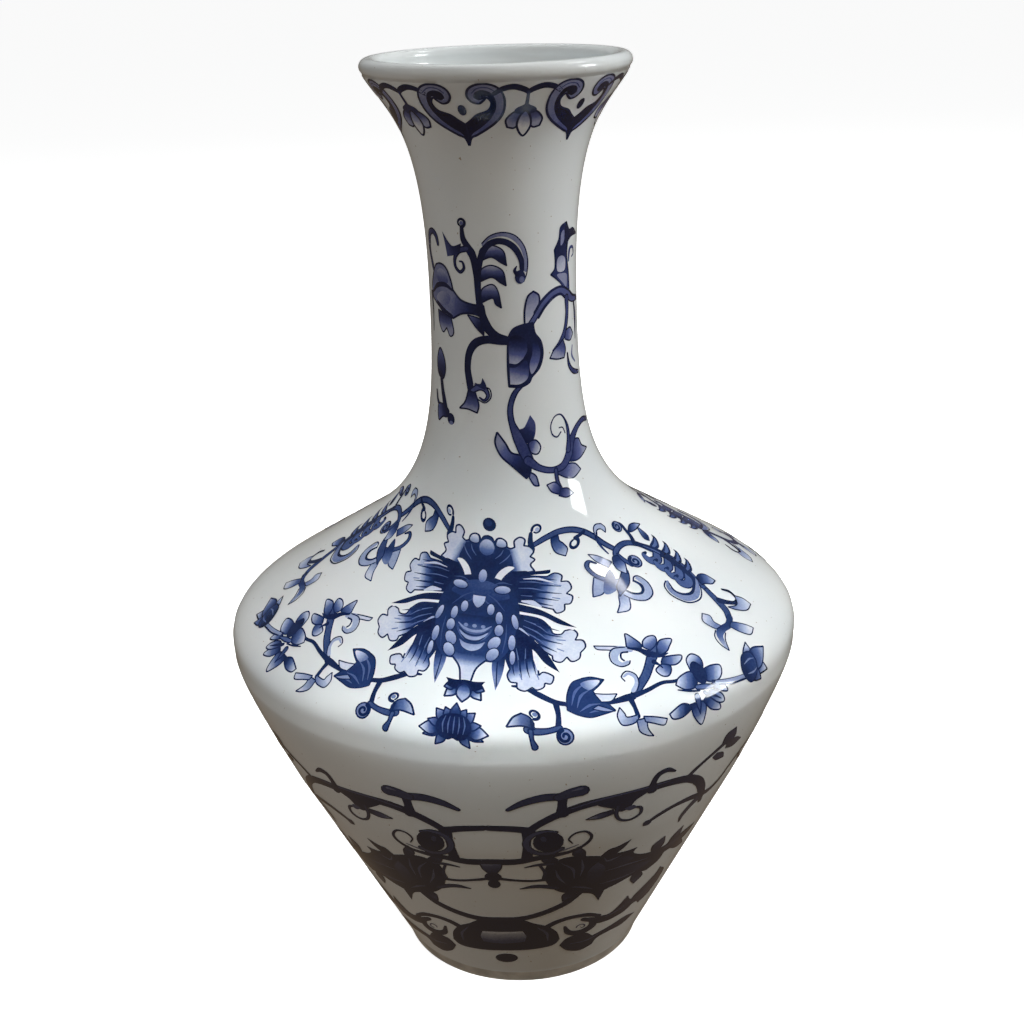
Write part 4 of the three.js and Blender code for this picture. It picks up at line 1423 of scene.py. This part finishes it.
def neck_scroll():
    """The scroll that hangs below the bud."""
    marks = leaf(
        [(-3.2, 233.8), (-3.9, 230.4), (-2.2, 226.4), (1.4, 223), (5.4, 219.2)],
        [(6.8, 222), (4.4, 226), (1, 227.4), (-0.8, 230.4), (-3.2, 233.8)],
        tone=(INK, (3.6, 223), 0.34, (-2, 230)), line=0.6)
    marks += stroke(
        [(5.4, 248.4), (2.6, 245.6), (1.1, 241.4), (1.3, 237), (2.8, 232.8), (4.6, 228.4), (6.6, 223.8)],
        [1.3, 1.9, 1.9, 2.1, 3.4, 3.8, 3.2], DARK)
    marks += area(
        [(3.4, 234.4), (5.2, 235), (7.1, 238.5)], [(8.7, 235.6), (8.4, 231.8), (6.6, 228.8)],
        [(3.4, 234.4)], tone=(INK, (5, 232), BLUE, (7.8, 235)))
    marks += leaf(
        [(6.4, 230), (8.6, 230.6), (10.2, 228.4), (9.2, 226.3), (7, 227)],
        tone=(BLUE, (7, 229), HAZE, (9.4, 228)), line=0.5)
    marks += leaf(
        [(6.6, 221), (8.4, 219.6), (9.3, 216.5)], [(7.7, 216.9), (6.2, 219.4)], [(6.6, 221)], tone=MID,
        line=0.5)
    marks += leaf(
        [(15, 219.6), (18.6, 217.4), (22, 216.6), (25.6, 218.2)], [(23, 220.6), (19, 221.4)],
        [(15, 219.6)], tone=(BLUE, (18, 219.6), PALE, (24, 218)), line=0.45)
    marks += leaf(
        [(21, 221.6), (25.4, 221.4), (30.8, 223.4)], [(27.6, 225), (26, 227.4), (22.6, 228)],
        [(21, 221.6)], tone=(DARK, (22.4, 224), PALE, (28.6, 223.8)), line=0.45)
    marks += stroke(
        [(6, 224.6), (9.4, 222), (13.6, 220.6), (17.8, 221), (20.6, 223.8), (22.2, 227.6), (25.6, 230.9),
        (30, 232), (35, 231)], [3.2, 2.2, 2.0, 2.6, 3.4, 3.0, 2.2, 1.9, 1.5], DARK)
    marks += stroke(
        [(20.6, 225.4), (21, 229.6), (20.4, 233.4), (18.2, 236.6), (15.6, 236.6), (14, 234.2),
        (14.4, 231.4), (16.2, 230.2), (17.8, 231.4)], [2.4, 1.7, 1.4, 0.8, 0.5, 0.45, 0.45, 0.5, 0.5],
        DARK)
    marks += thin([(19.6, 230.6), (18.6, 232.6), (17, 232.8)], width=0.4)
    marks += stroke([(15.2, 220.4), (15.6, 216.8), (17, 213.8)], [1.6, 1.5, 1.3], DARK)
    marks += leaf(
        [(16.6, 215), (14.6, 216.8), (11.8, 216.4)], [(13.4, 214), (16.4, 212.6)], [(16.6, 215)],
        tone=(DARK, (16, 214), PALE, (12.6, 216)), line=0.45)
    marks += leaf(
        [(16.6, 214.4), (19.2, 214), (21.4, 212)], [(18.6, 211.4), (15.8, 212.4)], [(16.6, 214.4)],
        tone=(DARK, (17, 213.6), PALE, (20.6, 212.2)), line=0.45)
    return marks


def neck_pendant():
    """The bud, stem and small foot at the left of the neck."""
    marks = leaf(
        [(-25.8, 253.4), (-23.8, 257.4), (-21.6, 254.8), (-21.1, 251), (-22.6, 248), (-25.2, 249.2)],
        tone=(MID, (-23.6, 256), INK, (-23.4, 249)), line=0.5)
    marks += stroke([(-23.6, 249), (-23, 245), (-22.2, 241.6), (-21.6, 238.6)], [1.5, 1.6, 2.0, 2.4], INK)
    marks += stroke([(-26.6, 243.6), (-25.8, 240.4), (-23.2, 238.4)], [0.8, 1.3, 1.6], DARK)
    marks += leaf(
        [(-25.6, 239.4), (-22.6, 240), (-20, 238.6), (-20.8, 236.6), (-23, 236.2), (-25.4, 234.8)],
        tone=(INK, (-21, 238), MID, (-25, 236.4)), line=0.5)
    marks += oval(-19.1, 236.2, 1.6, 1.8, INK) + oval(-19, 235, 0.8, 0.6, MID)
    return marks


def neck_marks():
    """Everything on the neck, earlier marks under later ones."""
    return (neck_pendant() + neck_scroll() + neck_cluster() + neck_tendrils() + neck_leaf() + neck_branch()
            + acanthus() + neck_bud())


# ---------------------------------------------------------------- border under the lip
def border_head():
    """Half of a ruyi head: the banded edge that coils into a volute, round a bare heart."""
    marks = leaf(
        [(0, 320.2), (0.9, 322.6), (2.6, 323.5)], [(5.4, 325.2), (8.4, 327.4), (10.7, 330), (12.1, 333.2),
        (12.5, 336.8), (11.4, 339.6), (8.8, 340.9), (5.6, 340.8), (3.2, 339.4), (2.4, 337), (3.4, 334.9),
        (5.2, 334.3), (6.6, 335.3)],
        [(7.8, 336.4), (8.7, 334.4), (7.3, 331.8), (3.9, 330.3), (1.9, 328.5), (0, 327)], [(0, 320.2)],
        tone=(0.36, (10, 338), 0.5, (4, 326)), line=0.7)
    marks += area(
        [(0, 320.6), (1.4, 323.8), (4.2, 325.9), (7.2, 328.6), (9.4, 332), (10, 335.4), (9.2, 338),
        (7, 339), (4.9, 338.3), (4.2, 336.5), (5.4, 335.4)],
        [(6.8, 336), (8, 336.9), (8.9, 334.4), (7.5, 331.6), (4, 330.1), (2, 328.3), (0, 326.8)],
        [(0, 320.6)], tone=0.97)
    marks += thin([(10.9, 338), (8.6, 339.7), (5.8, 339.6), (3.9, 338)], width=0.35, tone=BLUE)
    return marks


def border_bud():
    """Half of the trefoil bud between two heads, and the scalloped line over it."""
    marks = stroke(
        [(0, 337.9), (1.5, 338.9), (4.4, 339.8), (7.4, 339.2), (9.6, 337.6)], [1.6, 1.9, 1.9, 1.8, 1.4],
        INK)
    marks += leaf(
        [(0.9, 331.6), (3.4, 330.8), (5.2, 328.4), (4.7, 325.9)], [(2.8, 325.5), (1.4, 326.8)],
        [(0.9, 331.6)], tone=(0.7, (2.4, 331), PALE, (4, 327)), line=0.6)
    marks += area(
        [(0, 334.2), (0.8, 333.4), (2.6, 332.4), (3.2, 331.2), (1.9, 330.2), (0, 330.2)], tone=DARK)
    marks += stroke([(0, 333.6), (0, 338)], [1.1, 0.9], DARK)
    return marks


def border_marks():
    """One ruyi head and the bud to the right of it."""
    head = border_head()
    bud = level(border_bud(), 0, 0)
    drop = leaf(
        [(0, 331.2), (-1.6, 329), (-1.9, 325.8), (0, 322.9), (1.9, 325.8), (1.6, 329)],
        tone=(MID, (0, 330), BARE, (0, 326)), line=0.65)
    right = level(mirrored(bud) + bud + drop, 30, 0)
    return head + mirrored(head) + right + oval(0, 332, 1.25, 1.9, INK)


# ---------------------------------------------------------------- band print on the cone
def band_frame():
    """Right half of the window frame with its eye and spiral."""
    marks = stroke([(-1, 97.2), (6, 96.8), (11.5, 95.6)], [2.7, 3.0, 3.4], INK)
    marks += stroke([(10.4, 96), (10.2, 88.6), (9.8, 80.6)], [3.2, 2.4, 3.6], INK)
    marks += stroke(
        [(-1, 78.4), (6, 78.6), (12, 80), (18, 81), (24, 82.4), (28.4, 85.6), (29.8, 89), (28, 92),
        (24.8, 91.8), (22.8, 89.2), (23.8, 86.6)],
        [3.4, 3.4, 3.2, 2.6, 2.2, 1.6, 1.3, 1.1, 1.0, 0.8, 0.5], INK)
    marks += stroke([(14, 82.6), (20, 83.2), (25.6, 85.4)], [0.6, 0.9, 0.4], 0.4)
    marks += curl(16, 88.4, 6.2, 6.0, 60, 262, [1.5, 2.5, 2.5, 1.6], BLUE)
    marks += oval(16.6, 88.8, 4.7, 5.5, 0.97) + oval(15.2, 90.6, 0.9, 1.5, BLUE, 10)
    return marks


def band_arch():
    """The vine that arches out of the frame, with its hooks, wedge and hanging spiral."""
    marks = stroke(
        [(11, 95.4), (15, 99.2), (20.6, 102.8), (28, 105.6), (37, 106.4), (47, 106.4), (56, 105.9),
        (63.6, 103.6), (68.6, 98.8), (71, 92), (71.4, 85)],
        [2.6, 3.0, 3.4, 3.5, 3.4, 3.4, 3.4, 3.7, 4.0, 3.9, 2.0], INK)
    marks += stroke([(24, 104.8), (34, 107.2), (46, 107.4), (56, 106.8)], [0.4, 0.8, 0.8, 0.4], 0.55)
    marks += stroke([(21.4, 103), (21.4, 107), (21.8, 110.6)], [4.2, 2.8, 3.0], INK)
    marks += stroke([(5.6, 106.4), (10.4, 109.6), (16, 111.4), (22, 111.2)], [1.6, 3.0, 3.6, 3.6], DARK)
    marks += stroke([(20.6, 111), (24.4, 112.4), (27.4, 112.9)], [3.6, 4.4, 5.0], DARK)
    marks += stroke([(24.6, 113.4), (27.4, 114)], [0.3, 1.2], 0.45)
    marks += stroke(
        [(49.8, 105.4), (50.2, 109), (52, 112.2), (55, 112.9), (57.8, 111)], [3.8, 2.2, 2.3, 2.4, 0.9],
        INK)
    marks += area(
        [(32, 105.4), (48, 105.6), (44.4, 102.6), (42, 99.4), (39.4, 98.6), (36.8, 101)], tone=INK)
    marks += stroke(
        [(38.4, 101.6), (37.8, 97.6), (39.2, 94.2), (42.6, 92.9), (45.8, 94.6), (46, 97.8), (43.4, 99.4)],
        [1.8, 1.5, 1.2, 1.1, 1.2, 1.3, 1.0], DARK)
    marks += area([(40.6, 99.6), (42.4, 98), (44.4, 98.8), (43.4, 100.4)], tone=0.5)
    marks += leaf(
        [(36.8, 100.6), (32.4, 100), (28.2, 98.2)], [(32.6, 97.4), (37, 98.4)], [(36.8, 100.6)],
        tone=(DARK, (36, 99.6), 0.35, (29.6, 98.4)), line=0.5)
    return marks


def band_branches():
    """The far branches at the side of the band."""
    marks = stroke(
        [(47.6, 87.2), (52.6, 89.8), (59, 91.4), (66, 91), (71, 89)], [1.4, 2.0, 2.1, 2.8, 3.2], INK)
    marks += oval(48.6, 87.8, 1.6, 1.5, DARK)
    marks += stroke([(70.4, 88.4), (66.4, 85.8), (63.2, 82.4), (62.2, 79)], [3.4, 2.8, 2.4, 1.0], DARK)
    marks += stroke(
        [(71, 89), (76, 88.6), (81.6, 90.8), (87, 95.4), (95, 99.6), (104, 101)],
        [3.0, 2.2, 1.8, 2.0, 2.6, 1.4], INK)
    marks += stroke([(62.6, 104.2), (67, 107.6), (73, 110.6), (79, 113)], [2.2, 1.7, 1.8, 2.4], INK)
    marks += leaf(
        [(77, 112.6), (79, 117.2), (83.6, 118)], [(84, 113.6), (81.6, 111)], [(77, 112.6)],
        tone=(INK, (79, 113), BLUE, (83, 117)), line=0.5)
    marks += leaf(
        [(80, 112), (84.6, 112), (88.4, 109)], [(84, 108), (79.6, 109.6)], [(80, 112)],
        tone=(INK, (81, 111), BLUE, (87, 109.6)), line=0.5)
    marks += leaf(
        [(75.4, 109.8), (78.6, 108), (79.4, 105)], [(75.8, 106), (73.6, 108.6)], [(75.4, 109.8)],
        tone=DARK, line=0.5)
    marks += stroke([(92, 98), (93.6, 93), (98, 90.6), (101, 93.6)], [2.0, 1.8, 1.6, 0.8], DARK)
    marks += leaf(
        [(103, 101.6), (108, 104.8), (114.6, 104)], [(110.6, 100), (103.6, 99.4)], [(103, 101.6)],
        tone=(INK, (105, 101.6), MID, (113, 103)), line=0.5)
    return marks


def band_flower():
    """The dark spread flower at the right of the band's middle."""
    marks = area(
        [(14.6, 70), (15.6, 75.4), (21.4, 78.8), (27.4, 77.8), (32.6, 75.8)],
        [(35.4, 78.6), (38.6, 79.2), (43.2, 81)], [(40.8, 77.4), (38.2, 75)],
        [(41.4, 74.4), (45.4, 74.4)],
        [(44.2, 71.4), (48, 68.2), (54, 66.4), (61, 67), (66.6, 68.2), (73.6, 68)],
        [(70.6, 63.6), (64.6, 61.4), (57.6, 61.2)], [(55.4, 57.4), (50.4, 54.8)],
        [(44.6, 56), (38.6, 54.4), (33.6, 53)], [(31.4, 46.8)], [(29.2, 52.6), (24.8, 55.2)],
        [(19.6, 57.4), (16.4, 61), (14.6, 66), (14.6, 70)], tone=0.97)
    marks += area(
        [(27.4, 62), (28.6, 68.6), (31.6, 72.4)], [(34, 67.6), (32.6, 62.4), (30, 59)], [(27.4, 62)],
        tone=(0.62, (31, 70), INK, (30, 61)))
    marks += area(
        [(35.4, 70.6), (40.4, 71.4), (44.6, 68)], [(40, 66), (35.6, 67.4)], [(35.4, 70.6)],
        tone=(0.74, (43, 69), INK, (36, 69)))
    marks += area(
        [(36, 62.6), (44, 63.4), (52, 60.6)], [(44.4, 58), (37, 59.4)], [(36, 62.6)],
        tone=(0.7, (50, 60.8), INK, (38, 61)))
    for root, tip, half, bow in (
            ((20, 76), (13.6, 81.4), 1.8, 0.3), ((27, 76.6), (25.4, 84), 1.9, 0.3),
            ((52, 64), (56.6, 73.4), 2.6, 0.2), ((58, 64), (65.4, 73), 2.0, -0.2),
            ((46, 58), (45, 49.4), 2.4, 0.2), ((24, 58), (19.4, 51.6), 1.8, -0.2),
            ((60, 63), (68.4, 57), 2.2, 0.3)):
        marks += petal(root, tip, half, (INK, 0.62), 0.6, bow)
    for run in (
            [(20, 75.6), (23.4, 71), (23.6, 65)], [(26.4, 76), (26.6, 71), (25.6, 66)],
            [(33.6, 74.4), (35, 71.6), (39.6, 72.6)], [(34, 65.4), (42, 65.2), (50, 63.6)],
            [(32, 58), (38, 57.6), (45, 58)], [(22.6, 60), (26, 58.6), (29.4, 56)],
            [(57, 64.4), (64, 65), (70, 66.4)], [(18, 72), (18.8, 67), (20.6, 63)]):
        marks += stroke(run, [0.2, 1.0, 0.2], 0.5)
    marks += stroke([(8.8, 75), (12.6, 76.1), (17.4, 76)], [0.6, 1.5, 1.6], DARK)
    marks += stroke([(13.4, 75.6), (14.6, 71.4), (14.2, 67.6)], [1.0, 1.1, 1.4], DARK)
    marks += stroke([(0.2, 68.4), (5.6, 67.3), (11, 66.6), (17.4, 67)], [1.6, 1.3, 1.3, 1.8], INK)
    marks += stroke([(6.6, 62), (10.6, 63), (14, 62.6), (18, 60.6)], [0.6, 2.0, 2.3, 1.8], DARK)
    return marks


def band_foot():
    """The smile under the middle, the hub and the dark fronds at its side."""
    marks = stroke(
        [(25.4, 55.4), (20.6, 50.4), (13.6, 45.9), (6, 42.8), (-1.6, 41.9)], [2.0, 2.7, 2.7, 2.8, 3.0],
        INK)
    marks += area(
        [(-1.5, 42.6), (5.4, 42), (9.6, 39), (13.6, 36.4), (16.6, 31.6), (17.4, 26)],
        [(14.8, 22.6), (8, 21.2), (-1.5, 20.6)], [(-1.5, 42.6)], tone=0.97)
    marks += stroke([(10.6, 36), (13.2, 31.6), (13.4, 26.6)], [0.4, 1.1, 0.4], 0.5)
    marks += stroke(
        [(13, 35.4), (17, 38.4), (22, 39.7), (27.4, 38.8), (31.6, 35.8)], [2.4, 2.4, 2.2, 2.4, 1.8], INK)
    marks += stroke(
        [(19.4, 34), (20.6, 29.6), (24.6, 27.8), (28.6, 29.8), (29.2, 33.8), (26, 36.4)],
        [1.0, 2.6, 3.6, 3.4, 3.0, 2.2], INK)
    marks += curl(25, 31.8, 1.7, 1.0, 180, -280, [0.5, 0.6, 0.4], 0.5)
    marks += area(
        [(30, 36), (35, 34.4), (38.6, 36.6), (43, 42)],
        [(44.4, 38), (47, 40.6), (55, 46.6), (57.4, 50.4)], [(60.4, 45.4), (58.6, 38.6)],
        [(54, 33), (48.6, 30.6)], [(46.6, 33.6), (41.6, 30.4), (34.6, 29.6), (29, 31)], [(30, 36)],
        tone=(0.97, (38, 34), DARK, (58, 44)))
    for run in (
            [(34, 33), (40, 34.4), (45, 38)], [(44, 34.6), (50, 38), (55.6, 43.6)],
            [(46, 33), (52, 35), (57, 40)]):
        marks += stroke(run, [0.2, 0.8, 0.2], 0.5)
    marks += area(
        [(17, 21.6), (19.4, 17), (24, 14.4), (28.6, 15.8)], [(31, 19.6), (36, 20.6)],
        [(42, 20.4), (48, 23.4)], [(42.6, 25.8), (35, 24.2), (29, 22.6)],
        [(26, 26.4), (20, 25.8), (17, 21.6)], tone=INK)
    marks += stroke([(21, 21), (26.6, 20.4), (32, 22.4)], [0.3, 0.8, 0.3], 0.5)
    return marks


def band_link():
    """The vertical link below the frame, the hub's window and the dot under it."""
    marks = leaf(
        [(-3.4, 77.4), (-2.8, 74.4), (-1.3, 71.6)], [(1.3, 71.6)], [(2.8, 74.4), (3.4, 77.4)],
        [(-3.4, 77.4)], tone=(0.45, (0, 77), DARK, (0, 72)), line=0.5)
    marks += oval(0, 69.3, 2.7, 2.8, INK) + oval(0, 65, 2.0, 2.6, INK)
    marks += area(
        [(-6.6, 33.6), (6.6, 33.6)], [(7.5, 30), (6.9, 26.4)], [(0, 25.6), (-6.9, 26.4)],
        [(-7.5, 30), (-6.6, 33.6)], tone=(0.12, (0, 33), 0.62, (0, 26.4)))
    marks += oval(0, 15.2, 3.8, 3.1, 0.97)
    return marks


def band_marks():
    """The frame, flowers and fronds on both sides of the band's axis."""
    half = band_flower() + band_foot() + band_arch() + band_branches() + band_frame()
    half = level(half, BAND_SHIFT, BAND_ASKEW)
    return half + mirrored(half) + band_link()


# ---------------------------------------------------------------- prints
def make_prints():
    """The four prints. Those of the shoulder, neck and band come twice, the border's head six times."""
    shoulder = [(LOTUS_AXIS, 0.0), (LOTUS_AXIS + 180, math.pi)]
    print_piece("shoulder_print", shoulder_marks(), shoulder, SHOULDER_ASKEW, SHOULDER_COBALT,
                ["shoulder_transfer"])
    print_piece("neck_print", neck_marks(), [(0.0, 0.0), (180.0, 0.0)], 0.0, NECK_COBALT, ["neck_transfer"])
    border = [(BORDER_AXIS + 60 * k, 0.0) for k in range(6)]
    print_piece("border_print", border_marks(), border, 0.0, NECK_COBALT, ["border_transfer"])
    band = [(BAND_AXIS, 0.0), (BAND_AXIS + 180, math.pi)]
    print_piece("band_print", band_marks(), band, BAND_ASKEW, BAND_COBALT, ["band_transfer"])


# ---------------------------------------------------------------- studio
def make_floor():
    """A pale floor, big enough to fill the view. It glows a little, so it stays white all over."""
    mesh = bpy.data.meshes.new("floor")
    corners = [(x * FLOOR_HALF, y * FLOOR_HALF, 0) for x, y in ((-1, -1), (1, -1), (1, 1), (-1, 1))]
    mesh.from_pydata(corners, [], [(0, 1, 2, 3)])
    floor = bpy.data.objects.new("floor", mesh)
    bpy.context.scene.collection.objects.link(floor)
    material, tree, shader = new_material("floor_paper")
    paper = ramp(tree, noise(tree, 180.0, 3.0), [(0.3, (0.93, 0.93, 0.93)), (0.7, (0.96, 0.96, 0.96))])
    tree.links.new(paper, shader.inputs["Base Color"])
    shader.inputs["Roughness"].default_value = 0.9
    shader.inputs["Specular IOR Level"].default_value = 0.1
    shader.inputs["Emission Color"].default_value = (1.0, 1.0, 1.0, 1.0)
    shader.inputs["Emission Strength"].default_value = FLOOR_GLOW
    mesh.materials.append(material)
    floor.visible_diffuse = False
    floor.visible_glossy = False


def make_world():
    """Dim soft light from all round: warm from below, neutral from above."""
    world = bpy.data.worlds.new("studio")
    bpy.context.scene.world = world
    world.use_nodes = True
    tree = world.node_tree
    place = node(tree, "ShaderNodeTexCoord")
    split = node(tree, "ShaderNodeSeparateXYZ")
    tree.links.new(place.outputs["Generated"], split.inputs["Vector"])
    height = node(tree, "ShaderNodeMapRange", From_Min=-1.0, From_Max=1.0)
    tree.links.new(split.outputs["Z"], height.inputs["Value"])
    background = tree.nodes["Background"]
    tree.links.new(ramp(tree, height.outputs["Result"], SKY), background.inputs["Color"])
    background.inputs["Strength"].default_value = 1.0


def area_light(name, turn, rise, size, power, seen=False, away=1.3, spread=180.0, aim=HEIGHT / 2,
               tint=(1, 1, 1)):
    """A light that faces a height on the vase's axis: turned from the front to the right and raised, in
    degrees. A small spread keeps its light to a beam; only one that is seen shows in the glaze."""
    turn, rise = math.radians(turn), math.radians(rise)
    way = Vector((math.cos(rise) * math.sin(turn), -math.cos(rise) * math.cos(turn), math.sin(rise)))
    data = bpy.data.lights.new(name, "AREA")
    data.shape = "RECTANGLE"
    data.size, data.size_y = size
    data.energy = power
    data.spread = math.radians(spread)
    data.color = tint
    light = bpy.data.objects.new(name, data)
    light.location = Vector((0, 0, aim * MM)) + away * way
    light.rotation_euler = (-way).to_track_quat("-Z", "Y").to_euler()
    light.visible_glossy = seen
    bpy.context.scene.collection.objects.link(light)


def make_lights():
    """A high key, a steep beam on the shoulder and belly that misses the neck, a level one on the right of
    the neck, two windows that show in the glaze, and soft fills. Sizes in metres, powers in watts."""
    area_light("key", 36, 52, (0.6, 0.6), 4.0, tint=(1.0, 0.97, 0.92))
    area_light("beam", 0, 64, (0.12, 0.12), 0.062, away=1.0, spread=16.0, aim=-114.0, tint=(0.93, 0.98, 1.0))
    area_light("window_right", 84, 27, (0.32, 0.42), 7.0, seen=True, tint=(0.95, 0.99, 1.0))
    area_light("fill_left", -72, 14, (0.6, 0.6), 3.0)
    area_light("high_glint", 118, 57, (0.12, 0.20), 1.0, seen=True)
    area_light("back", 180, 54, (0.6, 0.6), 10.5)
    area_light("neck_beam", 66, -2, (0.26, 0.20), 0.018, away=1.0, spread=10.0, aim=240.0)


def make_camera():
    """The camera stands in front, a little above the lip, looking down at the shoulder."""
    pitch, yaw, roll = (math.radians(a) for a in (CAMERA_PITCH, CAMERA_YAW, CAMERA_ROLL))
    forward = Vector((math.sin(yaw) * math.cos(pitch), math.cos(yaw) * math.cos(pitch), -math.sin(pitch)))
    right = Vector((math.cos(yaw), -math.sin(yaw), 0))
    up = right.cross(forward)
    across = right * math.cos(roll) + up * math.sin(roll)
    upright = up * math.cos(roll) - right * math.sin(roll)
    data = bpy.data.cameras.new("camera")
    data.sensor_width = 36.0
    data.lens = LENS
    camera = bpy.data.objects.new("camera", data)
    turn = Matrix((across, upright, -forward)).transposed().to_4x4()
    camera.matrix_world = Matrix.Translation(CAMERA_PLACE) @ turn
    bpy.context.scene.collection.objects.link(camera)
    bpy.context.scene.camera = camera


make_body()
make_prints()
make_floor()
make_world()
make_lights()
make_camera()
bpy.context.scene.view_settings.view_transform = "Standard"
